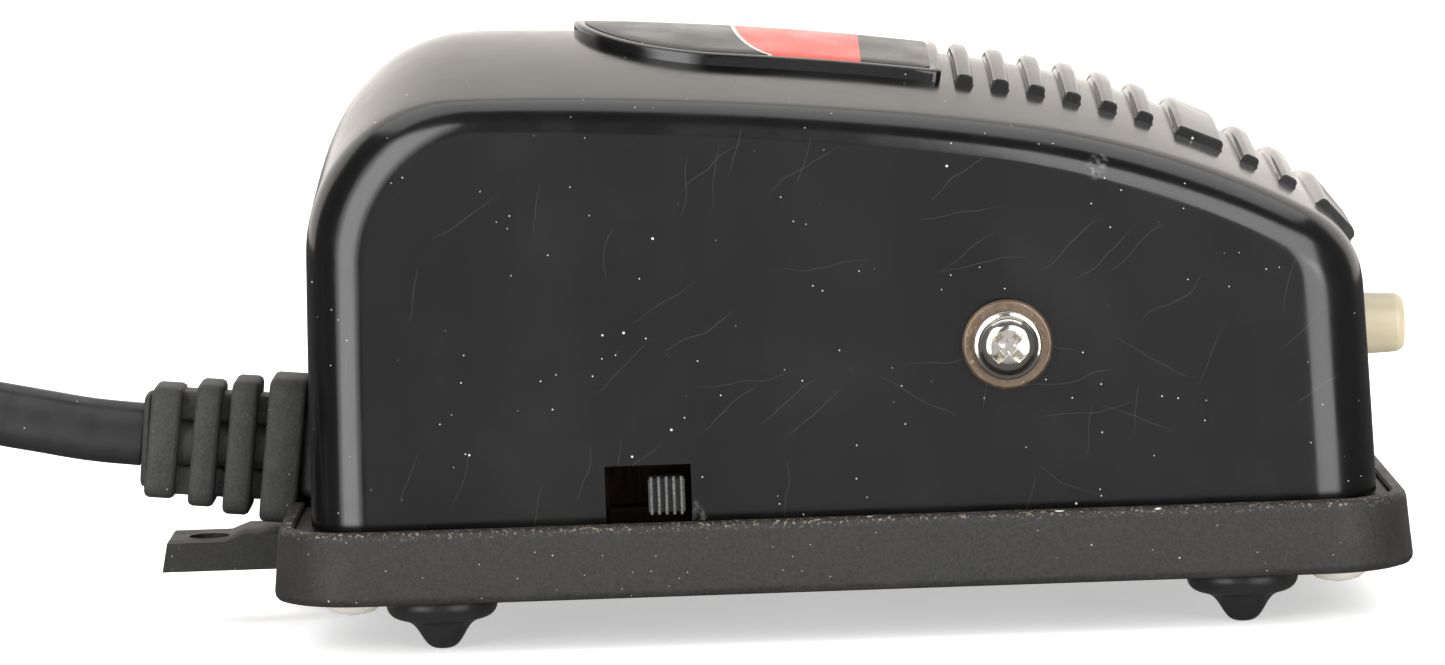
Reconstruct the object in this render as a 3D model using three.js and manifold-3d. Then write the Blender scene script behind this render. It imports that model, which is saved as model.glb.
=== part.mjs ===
// A single-outlet aquarium air pump, in millimetres, +Z up.
// +X points out of the outlet nozzle, -Y is the side with the switch and the side screw.
// The origin is at the middle of the pump's box, at the level of the feet.
import * as THREE from "three";
import { mergeVertices } from "three/addons/utils/BufferGeometryUtils.js";
import Module from "manifold-3d";

const wasm = await Module();
wasm.setup();

// ---- driving dimensions ----
const GAP = 0.3; // between pieces that touch in the real pump

// Heights inside the pump are measured from a datum just above the tips of the feet.
const FOOT_DROP = 1.45; // how far the tips reach below that datum
const BASE = { x0: -44.1, x1: 53.3, half: 29.6, z0: 3.35, z1: 9.6, corner: 8, flare: 0.45 };
const LIP = { wide: 1.8, depth: 0.5 }; // the raised edge of the base, inside which the casing stands
const POCKET = { inset: 5.6, floor: 6.2 };
const LUG = { tip: -55.1, z0: 3.7, half: 4.8, top: 6.3, rampX: -49.5, rampTop: 8.0, holeX: -51.2, holeR: 1.8 };
const CABLE_NOTCH = { half: 4.9, floor: 6.8 };

const CASE = { z0: BASE.z1 - LIP.depth + GAP, half: 26, fillet: 4.6, wall: 2, crown: 4.7, crownPower: 1.4 };
const SWITCH_WINDOW = { x0: -15.5, x1: -8.2, z1: 13.95 };
const CORD_SLOT = { half: 3.5, top: 19.2 };

const NOZZLE = { z: 21.7, root: 2.75, end: 2.55, tip: 55.1, bore: 1.25 };
const SIDE_SCREW = { x: 18.95, z: 23.55 };
const FILTER = { x: 2, y: -6, hole: 3.2, cup: 5.2 }; // the air inlet in the base
const FOOT = { xs: [-29.9, 38.7], y: 21, flange: 4.8, cone: 2.3 };
const BASE_SCREW = { xs: [-37.5, 46.9], y: 20.9, head: 2.75 };

const BADGE = { x0: -17.6, x1: 14.4, half: 14.6, nose: 13, step: 0.9, middle: 0.75, top: 1.1, film: 0.15 };
const RIBS = { half: 15, height: 1, width: 1.5, first: 16.4, pitch: 3.08, count: 6 };

const DRIVE_Y = 12.3; // the line of the swing arm, its magnet and the core's middle leg
const HEAD = { x0: 12, x1: 36, y0: -19, y1: 5.5, z0: 12.5, z1: 35 };
const DIAPHRAGM = { x: 24, z: 24, rim: 10.5, seat: 8.5, hole: 1.4 };
const PIVOT = { x: 41.5, r: 1.5 };
const ARM = { x0: -7, thick: 1.6, z0: 19, z1: 29 };
const CORE = { back: -33.2, tips: -12.8, z0: 15, z1: 27, half: 11, leg: 3.2, yoke: 5, screwY: 4 };

const KNOB = { x: -10.3, wide: 3.2, z0: 10.1, z1: 12.9, out: 27.5 };

const BOOT = { x: -42.2, z: 13.8, tilt: THREE.MathUtils.degToRad(5.5), wide: 8.6 };
const CORD = { wide: 5.6, thick: 3.4 };
const COIL = { x: -123.2, y: 12.2, z0: 0.9, inner: 23.3, outer: 34.1, height: 11.5 };
const PLUG = { x: -115.8, y: -6, length: 32, wide: 35, thick: 13.7, pin: 19, pinR: 2, pitch: 19 };

// ---- materials ----
const paint = (color, roughness, metalness = 0) =>
  new THREE.MeshStandardMaterial({ color, roughness, metalness });
const GLOSS_BLACK = () => paint(0x1b1a1a, 0.25);
const MATT_BLACK = () => paint(0x32302f, 0.75);
const RUBBER = () => paint(0x1d1d1f, 0.6);
const CREAM = () => paint(0xddd2b9, 0.45);
const NICKEL = () => paint(0xcfcac0, 0.25, 1);
const STEEL = () => paint(0x8b8a87, 0.4, 1);
const COPPER = () => paint(0x9a4a22, 0.35, 1);
const NATURAL = () => paint(0xe6e2d6, 0.5);

// ---- solids ----
function solid(geometry) {
  const g = geometry.clone();
  g.deleteAttribute("normal");
  g.deleteAttribute("uv");
  const merged = mergeVertices(g, 1e-4);
  return new wasm.Manifold(
    new wasm.Mesh({
      numProp: 3,
      vertProperties: merged.attributes.position.array,
      triVerts: new Uint32Array(merged.index.array),
    }),
  );
}

function geometryOf(body) {
  const mesh = body.getMesh();
  const g = new THREE.BufferGeometry();
  g.setAttribute("position", new THREE.BufferAttribute(mesh.vertProperties, 3));
  g.setIndex(new THREE.BufferAttribute(mesh.triVerts, 1));
  g.computeVertexNormals();
  return g;
}

const root = new THREE.Group();
const pump = new THREE.Group();
pump.position.z = FOOT_DROP;
root.add(pump);

function add(name, body, material, parent = pump) {
  const geometry = body.isBufferGeometry ? body : geometryOf(body);
  const mesh = new THREE.Mesh(geometry, material);
  mesh.name = name;
  parent.add(mesh);
  return mesh;
}

const box = (x0, x1, y0, y1, z0, z1) =>
  solid(
    new THREE.BoxGeometry(x1 - x0, y1 - y0, z1 - z0).translate(
      (x0 + x1) / 2,
      (y0 + y1) / 2,
      (z0 + z1) / 2,
    ),
  );

// A round bar or cone from a to b along the axis "x", "y" or "z", through the point at.
function bar(axis, at, a, b, ra, rb = ra, sides = 24) {
  const g = new THREE.CylinderGeometry(rb, ra, b - a, sides).translate(0, (a + b) / 2, 0);
  if (axis === "x") g.rotateZ(-Math.PI / 2);
  if (axis === "z") g.rotateX(Math.PI / 2);
  const place = new THREE.Vector3(...at);
  place[axis] = 0;
  return solid(g.translate(place.x, place.y, place.z));
}

// A turned piece on the Z axis, from [radius, height] pairs that start and end on the axis.
const turned = (points, sides = 24) =>
  new THREE.LatheGeometry(points.map(([r, z]) => new THREE.Vector2(r, z)), sides).rotateX(Math.PI / 2);

function roundedShape(x0, x1, y0, y1, r) {
  const s = new THREE.Shape();
  s.moveTo(x0 + r, y0);
  s.lineTo(x1 - r, y0).absarc(x1 - r, y0 + r, r, -Math.PI / 2, 0);
  s.lineTo(x1, y1 - r).absarc(x1 - r, y1 - r, r, 0, Math.PI / 2);
  s.lineTo(x0 + r, y1).absarc(x0 + r, y1 - r, r, Math.PI / 2, Math.PI);
  s.lineTo(x0, y0 + r).absarc(x0 + r, y0 + r, r, Math.PI, 1.5 * Math.PI);
  return s;
}

const plate = (shape, z0, z1, curveSegments = 6) =>
  new THREE.ExtrudeGeometry(shape, { depth: z1 - z0, bevelEnabled: false, curveSegments }).translate(
    0,
    0,
    z0,
  );

// ---- upper casing ----
// The side view of the casing, rear wall first, then over the top to the front wall.
const BELOW = 7.8; // the outline runs on under the casing's lower edge, where it is cut off
function casingOutline() {
  const s = new THREE.Shape();
  s.moveTo(-41, CASE.z0 - BELOW);
  s.lineTo(-40.4, 34);
  s.bezierCurveTo(-40.2, 44, -36, 50.2, -26, 50.2);
  s.bezierCurveTo(-12, 50.1, 8, 48.4, 21.2, 45.7);
  s.bezierCurveTo(29.5, 43.8, 38.5, 40.3, 45, 35.8);
  s.bezierCurveTo(48, 33.8, 49.5, 31.2, 49.8, 27.5);
  s.lineTo(50.8, CASE.z0 - BELOW);
  return s;
}

// Height of the casing's top along its middle, at x.
const topPoints = casingOutline().getPoints(16);
function topHeight(x) {
  const k = topPoints.findIndex((p, i) => i > 1 && p.x >= x);
  const [a, b] = [topPoints[k - 1], topPoints[k]];
  return a.y + ((b.y - a.y) * (x - a.x)) / (b.x - a.x);
}

// The top falls away to both sides of the middle.
const crownDrop = (y, z) =>
  CASE.crown * (Math.abs(y) / CASE.half) ** CASE.crownPower * THREE.MathUtils.smoothstep(z, 20, 36);

function crowned(geometry) {
  const p = geometry.attributes.position;
  for (let i = 0; i < p.count; i++) p.setZ(i, p.getZ(i) - crownDrop(p.getY(i), p.getZ(i)));
  return geometry;
}

// The outline as a body with rounded edges, smaller on all sides by inset.
function casingBody(inset) {
  const round = CASE.fillet - inset;
  const depth = 2 * (CASE.half - CASE.fillet);
  const g = new THREE.ExtrudeGeometry(casingOutline(), {
    depth,
    steps: 4,
    curveSegments: 7,
    bevelThickness: round,
    bevelSize: round,
    bevelOffset: -CASE.fillet,
    bevelSegments: 3,
  });
  g.translate(0, 0, -depth / 2).rotateX(Math.PI / 2);
  return solid(crowned(g));
}

// A rib across the top: a bar with a rounded crest that follows the crown.
function rib(x, width, half, height) {
  const slope = Math.atan2(topHeight(x + 1) - topHeight(x - 1), 2);
  const s = new THREE.Shape();
  const w = width / 2;
  const round = Math.min(w, 0.7);
  s.moveTo(-w, -1.5);
  s.lineTo(w, -1.5);
  s.lineTo(w, height - round).absarc(w - round, height - round, round, 0, Math.PI / 2);
  s.lineTo(round - w, height).absarc(round - w, height - round, round, Math.PI / 2, Math.PI);
  const g = new THREE.ExtrudeGeometry(s, {
    depth: 2 * half,
    steps: 4,
    bevelEnabled: false,
    curveSegments: 2,
  });
  g.translate(0, 0, -half).rotateX(Math.PI / 2).rotateY(-slope).translate(x, 0, topHeight(x));
  return solid(crowned(g));
}

const POST_TOP = 26;
const POST_R = 3;
function upperCasing() {
  const lower = box(-70, 80, -40, 40, -10, CASE.z0);
  let body = casingBody(0).subtract(casingBody(CASE.wall)).subtract(lower);
  for (let i = 0; i < RIBS.count; i++) {
    body = body.add(rib(RIBS.first + i * RIBS.pitch, RIBS.width, RIBS.half, RIBS.height));
  }
  // Past the even ribs: a wide one, two narrow ones and a wide one on the front corner.
  const last = [[36.5, 4.2], [40.7, 1.5], [43.9, 1.5], [47.4, 3]];
  last.forEach(([x, width], i) => {
    body = body.add(rib(x, width, RIBS.half - 0.5 * (i + 1), RIBS.height));
  });
  // Screw posts in the corners, joined to the side walls.
  for (const x of BASE_SCREW.xs) {
    for (const side of [-1, 1]) {
      const y = side * BASE_SCREW.y;
      const towardsWall = side * (BASE_SCREW.y + 2);
      body = body.add(bar("z", [x, y, 0], CASE.z0, POST_TOP, POST_R, POST_R, 16));
      body = body.add(bar("z", [x, towardsWall, 0], CASE.z0, POST_TOP, POST_R, POST_R, 16));
      body = body.subtract(bar("z", [x, y, 0], 0, 22, 1.5, 1.5, 12));
    }
  }
  const w = SWITCH_WINDOW;
  body = body.subtract(box(w.x0, w.x1, -30, -22, 0, w.z1));
  body = body.subtract(box(-50, -36, -CORD_SLOT.half, CORD_SLOT.half, 0, CORD_SLOT.top));
  body = body.subtract(bar("x", [0, 0, NOZZLE.z], 40, 60, 3.1));
  body = body.subtract(bar("y", [SIDE_SCREW.x, 0, SIDE_SCREW.z], -30, -20, 1.8));
  return body;
}

add("upper_casing", upperCasing(), GLOSS_BLACK());

// ---- badge: a tongue with a round rear end and a stepped edge ----
// A layer that follows the casing's top, from height z0 to z1 above it, in the tongue's outline.
function tongue(inset, z0, z1) {
  const h = BADGE.half - inset;
  const [x0, x1] = [BADGE.x0 + inset, BADGE.x1 - inset];
  const nose = BADGE.nose - inset;
  const outline = new THREE.Shape();
  outline.moveTo(x1, -h);
  outline.lineTo(x1, h);
  outline.lineTo(x0 + nose, h);
  outline.absellipse(x0 + nose, 0, nose, h, Math.PI / 2, 1.5 * Math.PI);

  const stations = 8;
  const along = (i) => BADGE.x0 - 1 + ((BADGE.x1 - BADGE.x0 + 2) * i) / stations;
  const side = new THREE.Shape();
  side.moveTo(along(0), topHeight(along(0)) + z0);
  for (let i = 1; i <= stations; i++) side.lineTo(along(i), topHeight(along(i)) + z0);
  for (let i = stations; i >= 0; i--) side.lineTo(along(i), topHeight(along(i)) + z1);
  const layer = new THREE.ExtrudeGeometry(side, { depth: 2 * LAYER, steps: 8, bevelEnabled: false });
  layer.translate(0, 0, -LAYER).rotateX(Math.PI / 2);
  return solid(crowned(layer)).intersect(solid(plate(outline, 30, 60, 8)));
}
const LAYER = CASE.half - CASE.fillet; // half the width over which the casing's top has no fillet
add(
  "badge_plate",
  tongue(0, GAP, BADGE.middle).add(tongue(BADGE.step, BADGE.middle - 0.1, BADGE.top)),
  GLOSS_BLACK(),
);
const filmFrom = BADGE.top + GAP;
add("label_film", tongue(BADGE.step + 1, filmFrom, filmFrom + BADGE.film), paint(0x202020, 0.3));

// ---- base tray ----
function baseTray() {
  const outer = roundedShape(BASE.x0, BASE.x1, -BASE.half, BASE.half, BASE.corner);
  const slab = plate(outer, BASE.z0, BASE.z1);
  const p = slab.attributes.position;
  const middle = (BASE.x0 + BASE.x1) / 2;
  const length = (BASE.x1 - BASE.x0) / 2;
  for (let i = 0; i < p.count; i++) {
    if (p.getZ(i) < BASE.z1 - 1) continue;
    p.setX(i, middle + (p.getX(i) - middle) * (1 - BASE.flare / length));
    p.setY(i, p.getY(i) * (1 - BASE.flare / BASE.half));
  }
  const i = POCKET.inset;
  const pocket = roundedShape(BASE.x0 + i, BASE.x1 - i, i - BASE.half, BASE.half - i, BASE.corner - 4);
  const seatInset = LIP.wide;
  const seat = roundedShape(
    BASE.x0 + seatInset,
    BASE.x1 - seatInset,
    seatInset - BASE.half,
    BASE.half - seatInset,
    BASE.corner - seatInset,
  );
  let body = solid(slab).subtract(solid(plate(pocket, POCKET.floor, BASE.z1 + 1)));
  body = body.subtract(solid(plate(seat, BASE.z1 - LIP.depth, BASE.z1 + 1)));

  const lug = new THREE.Shape();
  lug.moveTo(LUG.tip, LUG.z0);
  lug.lineTo(BASE.x0 + 2, LUG.z0);
  lug.lineTo(BASE.x0 + 2, LUG.rampTop);
  lug.lineTo(BASE.x0, LUG.rampTop);
  lug.lineTo(LUG.rampX, LUG.top);
  lug.lineTo(LUG.tip + 0.4, LUG.top);
  const lugBody = new THREE.ExtrudeGeometry(lug, { depth: 2 * LUG.half, bevelEnabled: false });
  body = body.add(solid(lugBody.rotateX(Math.PI / 2).translate(0, LUG.half, 0)));
  body = body.subtract(bar("z", [LUG.holeX, 0, 0], 0, 12, LUG.holeR));
  body = body.subtract(
    box(-60, BASE.x0 + i + 1, -CABLE_NOTCH.half, CABLE_NOTCH.half, CABLE_NOTCH.floor, 12),
  );

  // Corner screws pass through pads, with their heads in recesses underneath.
  for (const x of BASE_SCREW.xs) {
    for (const side of [-1, 1]) {
      const y = side * BASE_SCREW.y;
      body = body.add(bar("z", [x, y, 0], POCKET.floor - 1, BASE.z1 - 1.5, 3.4, 3.4, 16));
      body = body.subtract(bar("z", [x, y, 0], 0, 12, 1.7, 1.7, 12));
    }
  }
  for (const x of FOOT.xs) {
    for (const side of [-1, 1]) {
      body = body.subtract(bar("z", [x, side * FOOT.y, 0], 0, 12, 1.9, 1.9, 16));
    }
  }

  // Posts for the core, the pivot pin and the switch.
  for (const side of [-1, 1]) {
    const at = [CORE.back + CORE.yoke / 2, DRIVE_Y + side * CORE.screwY, 0];
    body = body.add(bar("z", at, POCKET.floor - 1, CORE.z0 - GAP, 1.9, 1.9, 16));
    body = body.subtract(bar("z", at, 9, 18, 1.2, 1.2, 12));
  }
  body = body.add(bar("z", [PIVOT.x, DRIVE_Y, 0], POCKET.floor - 1, 16, 3.2, 3.2, 20));
  body = body.subtract(bar("z", [PIVOT.x, DRIVE_Y, 0], 9, 20, PIVOT.r + GAP, PIVOT.r + GAP, 16));
  body = body.subtract(bar("z", [FILTER.x, FILTER.y, 0], 0, 12, FILTER.hole, FILTER.hole, 20));
  return body;
}

add("base_tray", baseTray(), MATT_BLACK());

const filterBar = (a, b, r, sides = 24) =>
  bar("z", [FILTER.x, FILTER.y, 0], POCKET.floor + a, POCKET.floor + b, r, r, sides);
const filterCup = filterBar(GAP, 3.6, FILTER.cup).subtract(filterBar(-1, 2.6, FILTER.cup - 1));
add("filter_cover", filterCup.subtract(filterBar(0, 9, 1, 12)), MATT_BLACK());
add("filter_felt", filterBar(GAP, 2.3, FILTER.cup - 1.3), paint(0xe9e7df, 1));

// ---- feet and base screws ----
const footProfile = [
  [0, -FOOT_DROP],
  [0.7, -FOOT_DROP],
  [1.3, -0.75],
  [FOOT.cone, 0.3],
  [2.7, 1.1],
  [4.2, 1.55],
  [FOOT.flange, 2.4],
  [FOOT.flange, BASE.z0 - GAP],
  [1.55, BASE.z0 - GAP],
  [1.55, POCKET.floor + GAP],
  [2.4, POCKET.floor + GAP],
  [1.2, POCKET.floor + 1.8],
  [0, POCKET.floor + 1.8],
];
const screwProfile = [
  [0, 1.75],
  [1.5, 1.9],
  [2.4, 2.5],
  [BASE_SCREW.head, BASE.z0 - GAP],
  [1.2, BASE.z0 - GAP],
  [1.2, 19],
  [0, 20],
];
let corner = 0;
for (const end of [0, 1]) {
  for (const side of [-1, 1]) {
    corner += 1;
    const foot = add(`rubber_foot_${corner}`, turned(footProfile, 16), RUBBER());
    foot.position.set(FOOT.xs[end], side * FOOT.y, 0);
    const screw = add(`base_screw_${corner}`, turned(screwProfile, 12), NICKEL());
    screw.position.set(BASE_SCREW.xs[end], side * BASE_SCREW.y, 0);
  }
}

// ---- side screw and washer ----
const sideGroup = new THREE.Group();
sideGroup.position.set(SIDE_SCREW.x, -CASE.half - GAP, SIDE_SCREW.z);
sideGroup.rotation.x = Math.PI / 2;
pump.add(sideGroup);
const washerProfile = [
  [1.9, 0],
  [3.7, 0],
  [3.85, 0.15],
  [3.85, 0.45],
  [3.65, 0.6],
  [1.9, 0.6],
  [1.9, 0],
];
add("side_washer", turned(washerProfile, 32), NICKEL(), sideGroup);
function sideScrew() {
  const head = [
    [0, -11],
    [1.2, -10.4],
    [1.2, 0.9],
    [2.92, 0.9],
    [2.92, 1.35],
    [2.42, 1.6],
    [2.1, 2.2],
    [1.3, 2.65],
    [0, 2.8],
  ];
  let body = solid(turned(head, 32));
  for (const turn of [45, 135]) {
    const slot = new THREE.BoxGeometry(3.1, 0.75, 3).rotateZ(THREE.MathUtils.degToRad(turn));
    body = body.subtract(solid(slot.translate(0, 0, 3.1)));
  }
  return body;
}
add("side_screw", sideScrew(), NICKEL(), sideGroup);

// ---- pump head ----
function pumpHead() {
  const h = HEAD;
  let body = box(h.x0, h.x1, h.y0, h.y1, h.z0, h.z1);
  body = body.subtract(bar("y", [DIAPHRAGM.x, 0, DIAPHRAGM.z], 2.5, 9, DIAPHRAGM.seat));
  body = body.subtract(box(26.5, 40, -7, 0, 18.5, 25.5)); // outlet chamber, open at the front
  body = body.subtract(box(14.5, 22.5, -7, 0, 5, 30)); // inlet chamber, open underneath
  body = body.subtract(bar("y", [29.3, 0, 22], -3, 4, 1, 1, 12));
  body = body.subtract(bar("y", [19, 0, 24], -3, 4, 1, 1, 12));
  // The boss that the side screw pulls against the casing's wall.
  body = body.add(bar("y", [SIDE_SCREW.x, 0, SIDE_SCREW.z], CASE.wall + GAP - CASE.half, h.y0 + 1, 4));
  body = body.subtract(bar("y", [SIDE_SCREW.x, 0, SIDE_SCREW.z], -25, -13, 1.5, 1.5, 16));
  // A foot under the head stands on the base.
  return body.add(box(24.5, 33, h.y0, h.y0 + 4, POCKET.floor + GAP, h.z0 + 1));
}
add("pump_head", pumpHead(), MATT_BLACK());

add("inlet_valve_flap", bar("y", [19, 0, 24], 2.8, 3.3, 2, 2, 16), RUBBER());
add("outlet_valve_flap", bar("y", [29.3, 0, 22], -0.8, -0.3, 2, 2, 16), RUBBER());

function outletNozzle() {
  const { z, root: r0, end, tip, bore } = NOZZLE;
  let body = box(HEAD.x1 + GAP, HEAD.x1 + 2.5, -9.5, 4.5, 16, 28);
  body = body.add(bar("x", [0, 0, z], HEAD.x1 + 2, 51, r0, r0));
  const taper = turned([[0, 50], [r0, 50], [r0, 50.8], [end, tip - 0.5], [end - 0.5, tip], [0, tip]]);
  body = body.add(solid(taper.rotateY(Math.PI / 2).translate(0, 0, z)));
  body = body.subtract(bar("x", [0, 0, z], 30, 60, bore, bore, 16));
  body = body.subtract(box(30, HEAD.x1 + 1.4, -6.5, 2, z - 3, z + 3));
  return body;
}
add("outlet_nozzle", outletNozzle(), CREAM());

// ---- diaphragm and swing arm ----
// Turned about an axis along Y through the diaphragm's middle.
function alongY(geometry, x, y, z) {
  return geometry.rotateX(-Math.PI / 2).translate(x, y, z);
}
const ARM_NEAR = DRIVE_Y - ARM.thick / 2;
const rimY = HEAD.y1 + GAP;
add(
  "diaphragm",
  alongY(
    turned([
      [DIAPHRAGM.hole, 4],
      [3, 4],
      [4, 3.6],
      [7.6, 0.9],
      [8.1, 0],
      [DIAPHRAGM.rim, 0],
      [DIAPHRAGM.rim, 1.4],
      [8.8, 1.4],
      [8.3, 1.9],
      [5, 5.2],
      [DIAPHRAGM.hole, 5.2],
      [DIAPHRAGM.hole, 4],
    ]),
    DIAPHRAGM.x,
    rimY,
    DIAPHRAGM.z,
  ),
  RUBBER(),
);

function swingArm() {
  const [y0, y1] = [ARM_NEAR, DRIVE_Y + ARM.thick / 2];
  let body = box(ARM.x0, PIVOT.x - 1, y0, y1, ARM.z0, ARM.z1);
  body = body.add(bar("z", [PIVOT.x, DRIVE_Y, 0], 17.5, 30.5, 3.3, 3.3, 24));
  body = body.add(box(ARM.x0 - 1, ARM.x0 + 1.5, DRIVE_Y - 4, DRIVE_Y + 4, ARM.z0, ARM.z1));
  body = body.subtract(bar("z", [PIVOT.x, DRIVE_Y, 0], 10, 40, PIVOT.r + GAP, PIVOT.r + GAP, 16));
  body = body.subtract(bar("y", [DIAPHRAGM.x, 0, DIAPHRAGM.z], 0, 20, 1.5, 1.5, 12));
  return body;
}
add("swing_arm", swingArm(), NATURAL());
add(
  "arm_magnet",
  box(ARM.x0 - 4.6, ARM.x0 - 1.3, DRIVE_Y - 5, DRIVE_Y + 5, ARM.z0, ARM.z1),
  paint(0x3c3b3d, 0.5, 0.6),
);
add("pivot_pin", bar("z", [PIVOT.x, DRIVE_Y, 0], 9.5, 32.5, PIVOT.r, PIVOT.r, 20), STEEL());
add(
  "diaphragm_screw",
  alongY(
    turned([[0, -5.4], [1.1, -5], [1.1, 1.1], [2.4, 1.1], [2.4, 1.7], [1.5, 2.5], [0, 2.7]], 20),
    DIAPHRAGM.x,
    DRIVE_Y,
    DIAPHRAGM.z,
  ),
  STEEL(),
);
// The nut behind the diaphragm clamps it to the screw.
add(
  "diaphragm_nut",
  bar("y", [DIAPHRAGM.x, 0, DIAPHRAGM.z], 7.6, 9.5, 2.9, 2.9, 6).subtract(
    bar("y", [DIAPHRAGM.x, 0, DIAPHRAGM.z], 7, 10, DIAPHRAGM.hole, DIAPHRAGM.hole, 16),
  ),
  STEEL(),
);

// ---- electromagnet ----
function magnetCore() {
  const c = CORE;
  const [y0, y1] = [DRIVE_Y - c.half, DRIVE_Y + c.half];
  let body = box(c.back, c.back + c.yoke, y0, y1, c.z0, c.z1);
  body = body.add(box(c.back, c.tips, y0, y0 + c.leg, c.z0, c.z1));
  body = body.add(box(c.back, c.tips, y1 - c.leg, y1, c.z0, c.z1));
  body = body.add(box(c.back, c.tips, DRIVE_Y - c.leg / 2, DRIVE_Y + c.leg / 2, c.z0, c.z1));
  for (const side of [-1, 1]) {
    const at = [c.back + c.yoke / 2, DRIVE_Y + side * c.screwY, 0];
    body = body.subtract(bar("z", at, 10, 40, 1.5, 1.5, 12));
  }
  return body;
}
add("magnet_core", magnetCore(), STEEL());

// A sleeve around the middle leg: half sizes in Y and Z.
function sleeve(x0, x1, halfY, halfZ, boreY, boreZ) {
  const mid = (CORE.z0 + CORE.z1) / 2;
  return box(x0, x1, DRIVE_Y - halfY, DRIVE_Y + halfY, mid - halfZ, mid + halfZ).subtract(
    box(x0 - 1, x1 + 1, DRIVE_Y - boreY, DRIVE_Y + boreY, mid - boreZ, mid + boreZ),
  );
}
const LEG = { y: CORE.leg / 2 + GAP, z: (CORE.z1 - CORE.z0) / 2 + GAP };
const [spool0, spool1] = [CORE.back + CORE.yoke + GAP, CORE.tips - 0.8];
add(
  "coil_bobbin",
  sleeve(spool0, spool1, LEG.y + 0.8, LEG.z + 0.8, LEG.y, LEG.z)
    .add(sleeve(spool0, spool0 + 0.8, 6.9, 10.4, LEG.y, LEG.z))
    .add(sleeve(spool1 - 0.8, spool1, 6.9, 10.4, LEG.y, LEG.z)),
  NATURAL(),
);
add(
  "coil_winding",
  sleeve(spool0 + 1.1, spool1 - 1.1, 6.4, 9.9, LEG.y + 1.1, LEG.z + 1.1),
  COPPER(),
);
const coreScrewProfile = [
  [0, 10],
  [0.9, 10.6],
  [0.9, CORE.z1 + GAP],
  [2.6, CORE.z1 + GAP],
  [2.6, 28.2],
  [1.6, 29.2],
  [0, 29.4],
];
for (const [n, side] of [[1, -1], [2, 1]]) {
  const screw = add(`core_screw_${n}`, turned(coreScrewProfile, 16), STEEL());
  screw.position.set(CORE.back + CORE.yoke / 2, DRIVE_Y + side * CORE.screwY, 0);
}

// ---- switch ----
const slideOpening = box(-15.2, -9, -23, -19.4, 10.2, 13.6);
add("switch_body", box(-19, -5.5, -21.6, -16.6, 8, 16.5).subtract(slideOpening), paint(0x9a968d, 0.35, 0.9));
add("switch_board", box(-20.5, -4, -16.3, -15, 7.4, 17.2), paint(0x5a3216, 0.7));
function switchKnob() {
  const { x, wide, z0, z1, out } = KNOB;
  let body = box(x - wide / 2, x + wide / 2, -out, -22.2, z0, z1);
  for (let k = 0; k < 4; k++) {
    const groove = x - wide / 2 + ((k + 1) * wide) / 5;
    body = body.subtract(box(groove - 0.14, groove + 0.14, -out - 1, -out + 0.5, z0 - 1, z1 + 1));
  }
  return body.add(box(x - 0.8, x + 0.8, -23, -19.8, 11.4, 13.6));
}
add("switch_knob", switchKnob(), RUBBER());

// ---- cable entry ----
const roundedBlock = (wide, high, r) => roundedShape(-wide / 2, wide / 2, -high / 2, high / 2, r);
function bootSlice(x0, x1, wide, high, r) {
  const g = plate(roundedBlock(high, wide, r), x0, x1, 1);
  return solid(g.rotateY(Math.PI / 2));
}
function strainReliefBoot() {
  let body = bootSlice(-14.1, 0.6, 6.2, 8.6, 1.5);
  const ribs = [
    [-13.9, -11.2, 7.4, 9.9],
    [-10.0, -7.7, 7.8, 10.9],
    [-6.9, -4.5, 8.2, 11.9],
    [-3.6, -0.3, BOOT.wide, 12.8],
  ];
  for (const [x0, x1, wide, high] of ribs) body = body.add(bootSlice(x0, x1, wide, high, 1.4));
  body = body.add(bootSlice(0.4, 4.4, 6.2, 8.2, 1));
  body = body.add(bootSlice(4.2, 6.6, 9, 10.6, 1.4));
  body = body.subtract(bootSlice(5.2, 8, 3.6, 6, 0.6));
  return body;
}
const bootGroup = new THREE.Group();
bootGroup.position.set(BOOT.x, 0, BOOT.z);
bootGroup.rotation.y = BOOT.tilt;
pump.add(bootGroup);
add("strain_relief_boot", strainReliefBoot(), MATT_BLACK(), bootGroup);

// A tube of even section along a smooth path.
function tube(points, halfWide, halfHigh, sides, steps) {
  const s = new THREE.Shape();
  s.absellipse(0, 0, halfWide, halfHigh, 0, 2 * Math.PI);
  const extrudePath = new THREE.CatmullRomCurve3(points.map((p) => new THREE.Vector3(...p)));
  const curveSegments = sides / 2; // three.js cuts an ellipse into twice as many
  return solid(new THREE.ExtrudeGeometry(s, { extrudePath, steps, curveSegments, bevelEnabled: false }));
}
const WIRE = 0.75; // radius of each core's insulation
const switchWire = [
  [-34.7, -1.5, 14],
  [-33, -4, 12],
  [-28, -10.5, 9.8],
  [-22, -13.4, 9.6],
  [-17.5, -13.6, 10.6],
  [-16.2, -13.7, 12],
];
const coilWire = [
  [-34.7, 1, 14],
  [-33.9, -0.2, 12.2],
  [-30, -1.4, 10.2],
  [-26, -0.6, 9.5],
  [-23.5, 2, 9.4],
  [-22, 5, 9.4],
];
add("wire_to_switch", tube(switchWire, WIRE, WIRE, 8, 16), paint(0x7a4a2a, 0.5));
add("wire_to_coil", tube(coilWire, WIRE, WIRE, 8, 16), paint(0x2c5aa0, 0.5));

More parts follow.
